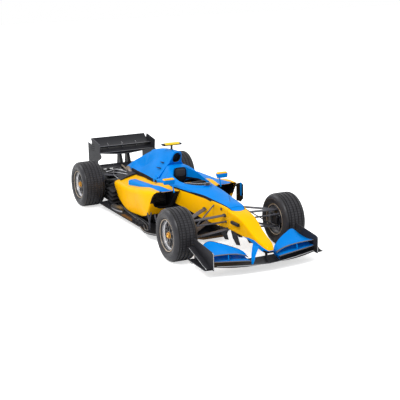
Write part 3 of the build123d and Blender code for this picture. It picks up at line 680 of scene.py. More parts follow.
def plain(name, colour, roughness, metallic=0.0, scale=60.0, coat=0.0, uneven=0.75):
    """A finish of one colour with fine unevenness in shade and gloss."""
    paint = Paint(name)
    grain = paint.noise(scale)
    shade = paint.mix(grain, shaded(colour, uneven), colour)
    paint.finish(Base_Color=shade, Roughness=roughness + 0.12 * grain, Metallic=metallic,
                 Coat_Weight=coat, Normal=paint.bump(grain, 0.06))


def webbing():
    """Woven belt webbing with ribs along it."""
    paint = Paint("webbing")
    ribs = paint.waves(paint.y, 2200.0) * paint.waves(paint.x + paint.z, 1800.0)
    shade = paint.mix(ribs, (0.02, 0.02, 0.024), (0.1, 0.1, 0.11))
    paint.finish(Base_Color=shade, Roughness=0.8, Normal=paint.bump(ribs, 0.4))


def pad_cloth():
    """Flame proof cloth with a knitted grain."""
    paint = Paint("pad_cloth")
    knit = paint.maths("SINE", paint.y * 1500.0) * paint.maths("SINE", paint.z * 1500.0)
    wear = paint.noise(22.0, 4.0)
    shade = paint.mix(wear, (0.01, 0.01, 0.012), (0.035, 0.035, 0.04))
    paint.finish(Base_Color=shade, Roughness=0.75 + 0.1 * wear,
                 Normal=paint.bump(knit * 0.5 + wear, 0.35))


def floor_carbon():
    """Carbon floor with scorched patches by the exhausts and a wooden plank below."""
    black, plank_top = shaded(bpy.context.scene.car_colours.black), 0.084
    paint = Paint("floor_carbon")
    half, scuffs = abs(paint.y), paint.noise(7.0, 6.0, (0.4, 1, 1))
    shade = paint.mix(paint.weave() * 0.4 + scuffs * 0.6, black, shaded(black, 3.0))
    layers = paint.maths("SINE", paint.z * 1400.0 + paint.noise(4.0) * 3.0) * 0.5 + 0.5
    wood = paint.mix(layers, (0.1, 0.055, 0.025), (0.24, 0.15, 0.075))
    scorched = paint.stretch(-2.03, -1.62) * (half > 0.61) * (half < 0.668)
    shade = paint.mix(scorched, shade, (0.13, 0.065, 0.025))
    paint.finish(Base_Color=paint.mix(paint.z < plank_top, shade, wood),
                 Roughness=0.38 + 0.25 * scuffs, Coat_Weight=0.02, Coat_Roughness=0.2,
                 Specular_IOR_Level=0.05, Normal=paint.bump(scuffs, 0.08))


def hot_metal():
    """Exhaust metal stained by heat."""
    paint = Paint("hot_metal")
    stain = paint.noise(12.0, 4.0)
    stops = [(0.25, (0.2, 0.15, 0.11)), (0.5, (0.34, 0.26, 0.18)), (0.75, (0.24, 0.23, 0.27))]
    shade = paint.node("ShaderNodeValToRGB", {"stops": stops}, {0: stain})
    paint.finish(Base_Color=shade, Roughness=0.32 + 0.2 * stain, Metallic=0.9)


def lamp_lens():
    """Red lens over rows of small lamps."""
    paint = Paint("lamp_lens")
    rows = (paint.maths("SINE", paint.y * 500.0) > 0) * (paint.maths("SINE", paint.z * 500.0) > 0)
    shade = paint.mix(rows, (0.25, 0.004, 0.004), (0.62, 0.02, 0.015))
    paint.finish(Base_Color=shade, Roughness=0.15 + 0.05 * rows, Coat_Weight=0.8,
                 Normal=paint.bump(rows, 0.2))


def core():
    """Radiator core: fine fins between flat tubes."""
    paint = Paint("radiator_core")
    fins = paint.waves(paint.z, 900.0)
    tubes = paint.maths("SINE", paint.y * 420.0) > 0.6
    shade = paint.mix(paint.any_of(fins, tubes), (0.006, 0.006, 0.007), (0.055, 0.055, 0.06))
    paint.finish(Base_Color=shade, Roughness=0.5, Metallic=0.4, Normal=paint.bump(fins, 0.5))


# ---------------------------------------------------------------- sizes a user would change
def colour_of(name, description, default):
    """A colour that a user can change."""
    return FloatVectorProperty(name=name, description=description, subtype="COLOR", default=default)


def size_of(name, description, default):
    """A size that a user can change."""
    return FloatProperty(name=name, description=description, subtype="DISTANCE", default=default)


def angle_of(name, description, default):
    """An angle that a user can change, given in degrees."""
    return FloatProperty(name=name, description=description, subtype="ANGLE", default=radians(default))


class CarColours(bpy.types.PropertyGroup):
    """The car's colours."""

    yellow: colour_of("Yellow", "Paint of the sides and nose", (1.0, 0.5, 0.0))
    blue: colour_of("Blue", "Paint of the top and the wings", (0.0, 0.235, 0.76))
    black: colour_of("Black", "Carbon parts and the thin lines", (0.012, 0.012, 0.014))
    rubber: colour_of("Rubber", "Tyres", (0.026, 0.0255, 0.029))


class TyreSettings(bpy.types.PropertyGroup):
    """The grooved tyres."""

    grooves: IntProperty(name="Grooves", description="Grooves around each tread", default=4)
    groove_width: size_of("Groove width", "Width of a groove at the tread", 0.018)
    groove_depth: size_of("Groove depth", "Depth of a groove", 0.009)
    groove_pitch: size_of("Groove spacing", "From groove to groove", 0.05)


class WheelSettings(bpy.types.PropertyGroup):
    """The forged wheels."""

    forks: IntProperty(name="Spoke pairs", description="Pairs of spokes in each wheel", default=6)
    spoke_thickness: size_of("Spoke thickness", "Thickness of a spoke", 0.018)


class StageSettings(bpy.types.PropertyGroup):
    """The floor, the lamps and the camera."""

    azimuth: angle_of("Azimuth", "Where the camera stands round the car", 63.938)
    elevation: angle_of("Elevation", "How far the camera looks down", 14.014)
    roll: angle_of("Roll", "How far the camera leans", -1.048)
    eye: FloatVectorProperty(name="Eye", description="The camera's place",
                             subtype="TRANSLATION", default=(12.031, -5.610, 3.659))
    lens: FloatProperty(name="Lens", description="Focal length on a 36 mm sensor, in millimetres",
                        default=90.13)
    floor_size: size_of("Floor", "Side of the floor", 80)


class CAR_OT_stage(bpy.types.Operator):
    """The floor, the lamps and the camera"""

    bl_idname = "car.stage"
    bl_label = "Stage"

    def execute(self, context):
        scene = context.scene
        stage = scene.car_stage
        bpy.ops.object.select_all(action="DESELECT")
        bpy.ops.mesh.primitive_plane_add(size=stage.floor_size)
        floor = context.object
        floor.name = "floor_stage"
        paint = Paint("floor_white")
        seen = paint.node("ShaderNodeLightPath", output="Is Camera Ray")
        paint.finish(Base_Color=(0.9, 0.9, 0.9), Roughness=0.9, Emission_Color=seen,
                     Emission_Strength=0.6)
        floor.data.materials.append(paint.material)
        bpy.ops.object.camera_add(location=stage.eye)
        camera = context.object
        camera.data.lens = stage.lens
        camera.data.clip_end = 200
        turn = Matrix.Rotation(stage.azimuth, 3, "Z") @ Matrix.Rotation(pi / 2 - stage.elevation, 3, "X")
        camera.rotation_euler = (turn @ Matrix.Rotation(stage.roll, 3, "Z")).to_euler()
        scene.camera = camera
        scene.world = bpy.data.worlds.new("studio")
        sky = Nodes(scene.world, "Background")
        rays = [
            sky.node("ShaderNodeLightPath", output=f"Is {kind} Ray")
            for kind in ("Camera", "Glossy", "Transmission")
        ]
        sky.finish(Color=sky.mix(sky.any_of(*rays), (0.81, 0.82, 0.83), (1, 1, 1)))
        for place, aim, power in (
            ((5, -6, 8), (0, 0, 0.4), 560), ((-6, -5, 7), (-0.5, 0, 0.5), 220),
            ((2, 8, 6), (0, 0, 0.5), 130),
        ):
            bpy.ops.object.light_add(type="AREA", location=place)
            lamp = context.object
            lamp.data.energy, lamp.data.size = power, 4
            lamp.rotation_euler = (Vector(aim) - Vector(place)).to_track_quat("-Z", "Y").to_euler()
        scene.view_settings.view_transform = "Standard"
        return {"FINISHED"}


class CAR_OT_finishes(bpy.types.Operator):
    """The paint and other finishes of the car's own parts"""

    bl_idname = "car.finishes"
    bl_label = "Finishes"

    def execute(self, context):
        for make in (body_paint, pod_paint, chimney_paint, flap_paint, vane_paint, webbing, pad_cloth,
                     floor_carbon, hot_metal, lamp_lens, core):
            make()
        car_top, mirror_top = 10.0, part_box("mirrors")[1].z
        trim_paint("wing_blue", car_top)
        trim_paint("mirror_paint", mirror_top - 0.016)
        carbon("carbon_weave")
        carbon("arm_carbon", 4.0, 0.3)
        carbon("dark_carbon", 0.5, 0.5)
        for end, axle in axles.items():
            rubber(f"{end}_rubber", axle)
            wheel_metal(f"{end}_wheel", axle)
        # name, colour, roughness, metal, grain to the metre, coat, evenness
        plain("machined", (0.4, 0.4, 0.42), 0.28, 1.0)
        plain("steel", (0.34, 0.34, 0.35), 0.25, 1.0)
        # painted highlight: this pale grey metal goes only on thin tubes that stand in for highlight lines
        plain("highlight_grey", (0.2, 0.2, 0.21), 0.3, 0.6)
        plain("cast_metal", (0.2, 0.2, 0.21), 0.45, 0.9)
        plain("nut_gold", (0.62, 0.3, 0.05), 0.22, 1.0)
        plain("glass", (0.3, 0.33, 0.36), 0.04, 1.0, 8.0)
        plain("suede", (0.022, 0.022, 0.024), 0.85, 0.0, 300.0)
        plain("yellow_trim", (0.95, 0.62, 0.0), 0.3, 0.0, 8.0, 0.4, 0.92)
        plain("red_trim", (0.55, 0.02, 0.015), 0.35, 0.0, 40.0)
        # painted highlight: this near white finish goes only on thin tubes that stand in for highlight
        # lines
        plain("highlight_pale", (0.55, 0.56, 0.57), 0.35, 0.0, 40.0)
        plain("tinted_screen", (0.01, 0.011, 0.013), 0.12, 0.0, 20.0)
        plain("sand_metal", (0.42, 0.33, 0.24), 0.35, 0.6, 30.0)
        plain("black_plastic", (0.015, 0.015, 0.016), 0.4, 0.0, 80.0)
        looks = {
            "race_paint": "monocoque nose_cone cockpit_surround engine_cover",
            "pod_paint": "sidepod_left sidepod_right",
            "chimney_paint": "chimneys",
            "wing_blue": "front_wing_pillars",
            "flap_paint": "front_wing_flaps",
            "mirror_paint": "mirrors",
            "vane_paint": "bargeboards",
            "floor_carbon": "floor",
            "arm_carbon": "front_wishbones_upper front_wishbones_lower pushrods track_rods"
                          " rear_wishbones_upper rear_wishbones_lower",
            "machined": "front_upright_left front_upright_right rear_uprights",
            "steel": "driveshafts",
            "cast_metal": "engine_block gearbox",
            "suede": "steering_wheel",
            "dark_carbon": "seat",
            "lamp_lens": "rain_light",
        }
        look_of = {name: look for look, names in looks.items() for name in names.split()}
        for name, node in nodes.items():
            node.data.materials.clear()
            node.data.materials.append(bpy.data.materials[look_of.get(name, "carbon_weave")])
        return {"FINISHED"}


# ---------------------------------------------------------------- wheels
# Rows of (how far inside the widest point, radius) up a tyre's wall.
tyre_wall = (
    (0.026, 0.187), (0.0255, 0.204), (0.0205, 0.2065), (0.012, 0.211), (0.0055, 0.221),
    (0.0018, 0.236), (0.0, 0.252), (0.0, 0.2625), (-0.0014, 0.2645), (-0.0014, 0.2685),
    (0.0006, 0.2705), (0.003, 0.281), (0.008, 0.2935), (0.0145, 0.3045), (0.0225, 0.313),
    (0.032, 0.3196), (0.042, 0.3238),
)


class CAR_OT_tyres(bpy.types.Operator):
    """Four grooved tyres"""

    bl_idname = "car.tyres"
    bl_label = "Tyres"

    def execute(self, context):
        tyre = context.scene.car_tyres
        shoulder, shoulder_radius, crown_radius, crown_drop = 0.050, 0.3262, 0.3297, 0.10
        for end in axles:
            low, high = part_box(f"tyre_{end}_left")
            wide = (high.y - low.y) / 2
            tread_half = wide - shoulder
            first = -(tyre.grooves - 1) / 2 * tyre.groove_pitch
            half = tyre.groove_width / 2
            tread = [(-tread_half, shoulder_radius)]
            for groove in range(tyre.grooves):
                place = first + groove * tyre.groove_pitch
                crown = crown_radius - crown_drop * place * place
                floor = crown - tyre.groove_depth
                tread += [(place - half, crown), (place - 0.7 * half, floor),
                          (place + 0.7 * half, floor), (place + half, crown)]
            tread.append((tread_half, shoulder_radius))
            profile = [(inset - wide, radius) for inset, radius in tyre_wall] + tread
            profile += [(wide - inset, radius) for inset, radius in reversed(tyre_wall)]
            for name, side in sides.items():
                centre = middle(f"rim_{end}_{name}")
                made = turned(f"grooved_tyre_{end}_{name}", profile, centre, side, steps=144)
                done(made, f"{end}_rubber", 28, f"wheel_{end}_{name}")
                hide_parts(f"tyre_{end}_{name}")
        return {"FINISHED"}


def spoke_pair(centre, side, face, thickness):
    """Two spokes that fork from the hub to the barrel."""
    spokes = []
    for lean in (-1, 1):
        rings = []
        for radius, angle, half, depth, thick in (
            # radius, middle angle, half width, depth behind the wheel's face, thickness
            (0.04, 5.0, 0.0105, 0.036, 0.026), (0.075, 7.5, 0.0085, 0.042, 0.022),
            (0.12, 11.0, 0.0075, 0.050, thickness), (0.168, 13.5, 0.0085, 0.056, thickness),
        ):
            spread, out = degrees(half / radius), face - depth
            rings.append([
                (centre.x + radius * sin(radians(lean * angle + turn)), centre.y + side * place,
                 centre.z + radius * cos(radians(lean * angle + turn)))
                for turn, place in (
                    (-spread, out), (spread, out), (spread, out - thick), (-spread, out - thick),
                )
            ])
        spokes.append(loft("spoke", rings, bevel=0.003))
    return join("spokes", spokes)


class CAR_OT_wheels(bpy.types.Operator):
    """Forged wheels with forked spokes, locking nuts and brakes"""

    bl_idname = "car.wheels"
    bl_label = "Wheels"

    def execute(self, context):
        wheel = context.scene.car_wheels
        for end in axles:
            low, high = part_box(f"rim_{end}_left")
            face = (high.y - low.y) / 2

            def inwards(*rows):
                """Rows of (outwards, radius) from rows of (depth behind the face, radius)."""
                return [(face - depth, radius) for depth, radius in rows]

            def from_back(*rows):
                """The same from rows of (distance from the wheel's back, radius)."""
                return [(distance - face, radius) for distance, radius in rows]

            barrel = inwards(
                (0.002, 0.2), (0, 0.1975), (0, 0.1925), (0.0035, 0.1885), (0.01, 0.185), (0.018, 0.1835),
                (0.022, 0.179), (0.03, 0.178), (0.044, 0.174), (0.05, 0.165), (0.066, 0.162),
                (0.074, 0.166), (0.09, 0.172),
            ) + [(0.0, 0.175)] + from_back(
                (0.02, 0.178), (0.006, 0.185), (0, 0.1925), (0, 0.1985), (0.002, 0.2), (0.01, 0.1995),
                (0.0105, 0.1862), (0.03, 0.1858), (0.05, 0.182),
            ) + inwards((0.05, 0.182), (0.03, 0.1858), (0.0105, 0.1862), (0.01, 0.1995))
            nut = inwards(
                (0.04, 0.0), (0.04, 0.047), (0.034, 0.047), (0.03, 0.038), (0.016, 0.036), (0.012, 0.032),
                (0.012, 0.02), (0.022, 0.017), (0.022, 0.0),
            )
            hub = inwards((0.066, 0.026), (0.066, 0.058), (0.04, 0.054), (0.034, 0.048), (0.034, 0.026))
            disc = [
                (-0.028, 0.082), (-0.028, 0.139), (-0.016, 0.139), (-0.0155, 0.126), (-0.0105, 0.126),
                (-0.01, 0.139), (0.002, 0.139), (0.002, 0.084), (0.012, 0.074),
                *inwards((0.066, 0.062), (0.066, 0.056)), (0.01, 0.068), (-0.004, 0.078),
            ]
            clamp = (
                (-0.05, 0.098), (-0.037, 0.098), (-0.037, 0.1445), (0.011, 0.1445), (0.011, 0.098),
                (0.024, 0.098), (0.024, 0.156), (-0.05, 0.156),
            )
            for name, side in sides.items():
                centre = middle(f"rim_{end}_{name}")
                body = f"wheel_{end}_{name}"
                spokes = spoke_pair(centre, side, face, wheel.spoke_thickness)
                middle_ring = turned("hub", hub, centre, side, steps=48)
                spokes = around(spokes, centre, wheel.forks)
                pieces = [turned("rim", barrel, centre, side), spokes, middle_ring]
                rim = join(f"forged_rim_{end}_{name}", pieces)
                done(rim, f"{end}_wheel", 30, body)
                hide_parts(f"rim_{end}_{name}")
                hexagon = turned(f"wheel_nut_{end}_{name}", nut, centre, side, steps=12)
                done(round_edges(hexagon, 0.0012), "nut_gold", 20, body)
                brake = turned(f"brake_disc_{end}_{name}", disc, centre, side, steps=72)
                done(brake, "dark_carbon", 30, body)
                body = f"upright_{end}_{name}" if end == "front" else "chassis"
                caliper = turned(f"brake_caliper_{end}_{name}", clamp, centre, side, steps=10,
                                 angle=radians(56), start=radians(-118 if end == "front" else 62))
                done(round_edges(caliper, 0.003), "machined", 30, body)
        return {"FINISHED"}


class CAR_OT_brake_ducts(bpy.types.Operator):
    """Scoops that feed air to the brakes"""

    bl_idname = "car.brake_ducts"
    bl_label = "Brake ducts"

    def execute(self, context):
        for end, reach, half in (("front", 0.15, 0.588), ("rear", 0.165, 0.598)):
            start = axles[end].x
            for name, side in sides.items():
                rings = [
                    [(start + forward, side * (half + out + wide * c), z + tall * s) for c, s in oval(16)]
                    for forward, out, z, wide, tall in (
                        # ahead of the axle, out from the mouth, height, half width and height
                        (reach, 0, 0.345, 0.02, 0.052), (reach * 0.66, 0.004, 0.343, 0.019, 0.05),
                        (reach * 0.25, 0.018, 0.338, 0.018, 0.06), (-0.055, 0.03, 0.335, 0.016, 0.062),
                    )
                ]
                duct = loft(f"brake_duct_{end}_{name}", rings)
                hollow(duct, lambda place: place.x > start + reach - 0.001, 0.004, (-0.09, 0, 0))
                body = f"upright_front_{name}" if end == "front" else "chassis"
                done(duct, angle=40, body=body)
        return {"FINISHED"}


# ---------------------------------------------------------------- front wing
def along_rows(rows, places):
    """Values between a table's rows at places in its first column, on a smooth curve."""
    columns = list(zip(*rows))
    spots = columns[0]
    found = []
    for place in places:
        k = max(i for i in range(len(spots) - 1) if spots[i] <= place or i == 0)
        step = spots[k + 1] - spots[k]
        share = (place - spots[k]) / step
        before, after = max(k - 1, 0), min(k + 2, len(spots) - 1)
        values = []
        for column in columns[1:]:
            slope_in = (column[k + 1] - column[before]) / (spots[k + 1] - spots[before]) * step
            slope_out = (column[after] - column[k]) / (spots[after] - spots[k]) * step
            rise = column[k + 1] - column[k]
            values.append(
                column[k] + share * slope_in + share ** 2 * (3 * rise - 2 * slope_in - slope_out)
                + share ** 3 * (slope_in + slope_out - 2 * rise)
            )
        found.append((place, *values))
    return found


def evenly(rows, count):
    """A table's values at even steps from its first row to its last."""
    first, last = rows[0][0], rows[-1][0]
    return along_rows(rows, [first + (last - first) * k / count for k in range(count + 1)])


def wing_ring(half, lead, lead_height, trail, trail_height, camber, depth):
    """A wing's cut at a place on its span, hollow side up and round ahead."""
    run = [k / 9 for k in range(10)]
    ring = []
    for upper, shares in ((True, run), (False, reversed(run))):
        for share in shares:
            sag = camber * 4 * share * (1 - share)
            if upper:
                lift = 0.003 * sin(pi * min(share * 6, 1.0) / 2)
            else:
                lift = -(depth * (sin(pi * share ** 0.6)) + 0.002)
            z = lead_height + (trail_height - lead_height) * share - sag + lift
            ring.append((lead + (trail - lead) * share, half, z))
    return ring


flap_tables = {
    # half span, lead and its height, trail and its height, camber
    "middle": (
        (0.192, 0.848, 0.136, 0.69, 0.15, 0.006), (0.206, 0.846, 0.14, 0.655, 0.166, 0.01),
        (0.43, 0.838, 0.164, 0.64, 0.206, 0.014), (0.692, 0.815, 0.188, 0.64, 0.216, 0.014),
    ),
    "upper": (
        (0.192, 0.784, 0.166, 0.712, 0.19, 0.004), (0.215, 0.779, 0.183, 0.684, 0.217, 0.008),
        (0.33, 0.786, 0.224, 0.6, 0.268, 0.018), (0.44, 0.79, 0.242, 0.545, 0.306, 0.026),
        (0.575, 0.797, 0.252, 0.49, 0.334, 0.03), (0.692, 0.802, 0.256, 0.48, 0.25, 0.018),
    ),
}


class CAR_OT_front_flaps(bpy.types.Operator):
    """The front wing's curved flaps, their links, pale tubes along their leading edges as painted
    highlights, and their trailing lips
    """

    bl_idname = "car.front_flaps"
    bl_label = "Front flaps"

    def execute(self, context):
        depth = 0.007
        flaps = both_sides("curved_front_flaps", [
            loft("flap", [
                wing_ring(half, ahead(x0), z0, ahead(x1), z1, camber, depth)
                for half, x0, z0, x1, z1, camber in evenly(rows, 22)
            ]) for rows in flap_tables.values()
        ], "flap_paint", 40)
        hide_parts("front_wing_flaps")
        upper = along_rows(flap_tables["upper"], [0.24 + 0.03 * k for k in range(16)])
        lip = [(ahead(x) + 0.001, half, z + 0.001) for half, _, _, x, z, _ in upper]
        both_sides("flap_lip", [tube("flap_lip", lip, 0.0035)], "dark_carbon")
        low, top = 0.166, 0.236
        link = plate("link", upright(0.46, (
            (0.8, low), (0.822, low + 0.004), (0.8, top), (0.772, top),
        )), (0, 0.006, 0))
        both_sides("flap_links", [link], "wing_blue")
        # painted highlight: pale grey tubes along the flaps' leading edges
        both_sides("flap_edge_highlights", [
            tube("edge", [
                (ahead(x) + 0.001, half, z - 0.003) for half, x, z, _, _, _ in evenly(rows, 12)
            ], 0.0055) for rows in flap_tables.values()
        ], "highlight_grey", 50)
        return {"FINISHED"}


class CAR_OT_wing_pillars(bpy.types.Operator):
    """Curved pillars that carry the front wing under the nose"""

    bl_idname = "car.wing_pillars"
    bl_label = "Wing pillars"

    def execute(self, context):
        rows = (
            # place down the pillar, half width, ahead, height, chord
            (0.0, 0.05, 0.745, 0.318, 0.172), (0.3, 0.088, 0.764, 0.262, 0.14),
            (0.55, 0.122, 0.79, 0.206, 0.11), (0.8, 0.156, 0.828, 0.15, 0.082),
            (1.0, 0.18, 0.86, 0.106, 0.042),
        )
        rings = [
            [(ahead(x) + chord / 2 * c, half + 0.0075 * s, z - 0.01 * s) for c, s in circle(20)]
            for _, half, x, z, chord in evenly(rows, 12)
        ]
        pillars = both_sides("curved_wing_pillars", [loft("pillar", rings)], "wing_blue", 50)
        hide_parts("front_wing_pillars")
        strut = ((0.905, 0.1), (0.835, 0.1), (0.845, 0.25), (0.885, 0.25))
        done(plate("centre_strut", upright(-0.004, strut), (0, 0.008, 0)))
        return {"FINISHED"}


class CAR_OT_endplate_details(bpy.types.Operator):
    """Ramps, pale edges as painted highlights and skids at the front wing's end plates, and a painted
    highlight along the main plane's leading edge
    """

    bl_idname = "car.endplate_details"
    bl_label = "End plate details"

    def execute(self, context):
        plate_half, fence_half = 0.706, 0.772
        ramp = plate("ramp", upright(plate_half, (
            (0.845, 0.118), (0.4, 0.262), (0.4, 0.272), (0.85, 0.126),
        )), (0, 0.066, 0), bevel=0.002)
        fence = plate("fence", upright(fence_half, (
            (0.845, 0.114), (0.4, 0.258), (0.4, 0.285), (0.7, 0.19),
        )), (0, 0.004, 0), bevel=0.001)
        both_sides("endplate_ramps", [ramp, fence])
        # painted highlight: pale tubes along the end plates' front, fence and lower edges
        front_half = plate_half - 0.006
        both_sides("endplate_highlights", [
            tube("edge", route(points), 0.0032, smooth=False) for points in (
                ((0.885, front_half, 0.112), (0.885, front_half, 0.3), (0.86, front_half, 0.3125)),
                ((0.845, 0.774, 0.117), (0.7, 0.774, 0.164), (0.4, 0.774, 0.261)),
                ((0.845, 0.8, 0.1085), (0.6, 0.79, 0.1085), (0.365, 0.78, 0.1085)),
            )
        ], "highlight_pale")
        # painted highlight: a pale tube along the main plane's leading edge
        span = 0.66
        lead = [
            (ahead(0.952 - 0.085 * (half / span) ** 1.6) + 0.002, half,
             0.101 + 0.041 * (half / span) ** 1.3 + 0.002)
            for half in (k * 0.05 for k in range(14))
        ]
        both_sides("main_plane_highlight", [tube("main_plane_highlight", lead, 0.003)], "highlight_pale")
        both_sides("endplate_skids", [
            plate("skid", upright(0.775, (
                (x, 0.1035), (x - 0.09, 0.1035), (x - 0.08, 0.088), (x - 0.015, 0.088),
            )), (0, 0.006, 0)) for x in (0.8, 0.5)
        ], "machined")
        return {"FINISHED"}


# ---------------------------------------------------------------- top of the car
class CAR_OT_airbox(bpy.types.Operator):
    """The intake's rolled lip, trim and screen, and the small winglets behind it"""

    bl_idname = "car.airbox"
    bl_label = "Airbox"

    def execute(self, context):
        def mouth(tall, wide, shift, count=36):
            """A ring round the intake's leaning mouth, drawn in or out and shifted ahead."""
            ring = []
            for c, s in oval(count, 0.8):
                z = 0.921 + tall * s
                ring.append((ahead(-1.632 + (z - 0.812) * 0.5263) + shift, wide * c, z))
            return ring

        lip, trim = mouth(0.077, 0.064, 0.001), mouth(0.07, 0.057, 0.004)
        done(tube("intake_lip", lip + lip[:3], 0.0075), "wing_blue", 60)
        done(tube("intake_trim", trim + trim[:3], 0.0035), "black_plastic", 60)
        screen = plate("intake_screen", mouth(0.066, 0.053, -0.06, 24), (-0.004, 0, 0), bevel=0.0)
        done(screen, "radiator_core")
        wide = 0.06
        section = (
            (0.0, 0.0), (0.3, 0.0065), (0.7, 0.006), (1.0, 0.001), (0.7, -0.001), (0.3, -0.003),
        )
        both_sides("cover_winglets", [
            loft("winglet", [
                [
                    (ahead(x) - 0.02 * share - chord * back, y + wide * share, z + 0.012 * share + rise)
                    for back, rise in section
                ] for share in (0.0, 0.35, 0.7, 1.0)
            ]) for x, y, z, chord in ((-1.715, 0.09, 0.822, 0.075), (-1.712, 0.15, 0.754, 0.078))
        ], angle=40)
        return {"FINISHED"}


class CAR_OT_camera_pod(bpy.types.Operator):
    """Lenses and the coloured cap of the camera bar"""

    bl_idname = "car.camera_pod"
    bl_label = "Camera pods"

    def execute(self, context):
        low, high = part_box("camera_bar")
        top, front = high.z, high.x
        cap = loft("camera_cap", [
            [
                (x, y, top + up) for y, up in (
                    (-half, -0.004), (-half + 0.006, rise), (half - 0.006, rise), (half, -0.004),
                    (half, -0.016), (-half, -0.016),
                )
            ]
            for x, half, rise in (
                (front + 0.002, 0.104, 0.002), (front - 0.008, 0.11, 0.011), (low.x + 0.02, 0.11, 0.011),
                (low.x + 0.008, 0.104, 0.002),
            )
        ], bevel=0.0015)
        done(cap, "yellow_trim")
        done(join("camera_lenses", [
            loft("lens", [
                [
                    (front - 0.006 + push, y + radius * c, top - 0.013 + radius * 0.62 * s)
                    for c, s in circle(16)
                ]
                for push, radius in ((-0.012, 0.012), (0, 0.012), (0.004, 0.009), (0.002, 0.007),
                                     (0.003, 0.002))
            ]) for y in (-0.118, 0.118)
        ]), "glass", 40)
        return {"FINISHED"}


class CAR_OT_mirror_glasses(bpy.types.Operator):
    """Glasses in the mirrors' rear faces, and the mirrors' rounded bellies"""

    bl_idname = "car.mirror_glasses"
    bl_label = "Mirror glasses"

    def execute(self, context):
        mirror_half = 0.39
        glass = plate("mirror_glass", [
            (ahead(-1.0078), mirror_half + 0.069 * c, 0.756 + 0.021 * s) for c, s in oval(28, 0.45)
        ], (-0.0022, 0, 0), bevel=0.0008)
        both_sides("mirror_glass", [glass], "glass")
        belly = loft("mirror_bellies", [
            [(ahead(-0.985) + deep * c, mirror_half + wide * s, z) for c, s in oval(28, 0.5)]
            for z, deep, wide in (
                (0.706, 0.014, 0.066), (0.71, 0.019, 0.074), (0.722, 0.022, 0.079),
                (0.738, 0.0225, 0.0795), (0.742, 0.021, 0.078),
            )
        ])
        both_sides("mirror_bellies", [belly], "wing_blue", 40)
        return {"FINISHED"}


class CAR_OT_antennas(bpy.types.Operator):
    """Thin aerials on the nose"""

    bl_idname = "car.antennas"
    bl_label = "Aerials"

    def execute(self, context):
        rods = []
        for x, z, lean, tall in ((-0.545, 0.655, 0.004, 0.095), (-0.01, 0.612, -0.05, 0.105)):
            rods.append(tube("rod", [
                (ahead(x) + lean * share, 0, z + tall * share) for share in (0, 0.5, 1)
            ], 0.0022))
            rods.append(loft("foot", [
                [(ahead(x) + size * c, size * 0.6 * s, z + up) for c, s in circle(16)]
                for up, size in ((-0.012, 0.017), (0.004, 0.016), (0.008, 0.009), (0.012, 0.004))
            ]))
        done(join("aerials", rods), "black_plastic", 50)
        return {"FINISHED"}


# ---------------------------------------------------------------- cockpit
def plump(piece, swell, voxel=0.005):
    """Blows a closed pad up as stuffed cloth does, each point by no more than swell."""
    modify(piece, "REMESH", mode="VOXEL", voxel_size=voxel)
    scene = bpy.context.scene
    rest = [vertex.co.copy() for vertex in piece.data.vertices]
    cloth = piece.modifiers.new("cloth", "CLOTH")
    cloth.settings.use_pressure = True
    cloth.settings.uniform_pressure_force = 4
    cloth.settings.effector_weights.gravity = 0
    cloth.point_cache.frame_end = 20
    for frame_number in range(1, 21):
        scene.frame_set(frame_number)
    blown = piece.evaluated_get(bpy.context.evaluated_depsgraph_get())
    moved = [vertex.co.copy() for vertex in blown.data.vertices]
    piece.modifiers.remove(cloth)
    scene.frame_set(1)
    for vertex, before, after in zip(piece.data.vertices, rest, moved):
        step = after - before
        vertex.co = before + step * min(1.0, swell / max(step.length, 1e-9))
    return modify(piece, "SUBSURF", levels=1, render_levels=1)


class CAR_OT_headrest(bpy.types.Operator):
    """The padded headrest behind the driver's helmet"""

    bl_idname = "car.headrest"
    bl_label = "Headrest"

    def execute(self, context):
        low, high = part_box("headrest")
        centre, half = (low + high) / 2, (high - low) / 2

        def outline(x, share):
            """The headrest's outline at a place along the car, drawn in or out."""
            return [(x, half.y * share * c, centre.z + half.z * share * s) for c, s in oval(32, 0.55)]

        pad = plump(loft("headrest_pad", [outline(*row) for row in (
            (low.x + 0.003, 0.9), (low.x + 0.012, 0.97), (high.x - 0.002, 0.99), (high.x + 0.004, 1.1),
            (high.x + 0.014, 1.12), (high.x + 0.022, 0.98),
        )]), 0.006)
        done(pad, "pad_cloth", 180)
        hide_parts("headrest")
        shell = plate("headrest_shell", [
            (ahead(-1.472), 0.092 * c, 0.705 + 0.096 * s) for c, s in oval(32, 0.5)
        ], (0.01, 0, 0), bevel=0.003)
        done(shell, "dark_carbon")
        seam = outline(high.x + 0.0245, 0.8)
        done(tube("headrest_piping", seam + seam[:3], 0.0022), "webbing", 60)
        return {"FINISHED"}


def shoulder_strap(side):
    """A belt that lies down the seat's back, or nothing where it finds no seat."""
    line, width = [], 0.044
    for k in range(13):
        y = side * (0.08 - 0.0022 * k)
        start = Vector((ahead(-0.95), y, 0.64 - 0.028 * k))
        hit, place, _, _ = nodes["seat"].ray_cast(start, Vector((-1, 0, -0.25)))
        if hit:
            line.append((place.x + 0.004, y - width / 2, place.z))
    if len(line) < 4:
        return []
    return [modify(ribbon("strap", line, (0, width, 0)), "SOLIDIFY", thickness=0.003, offset=0.0)]


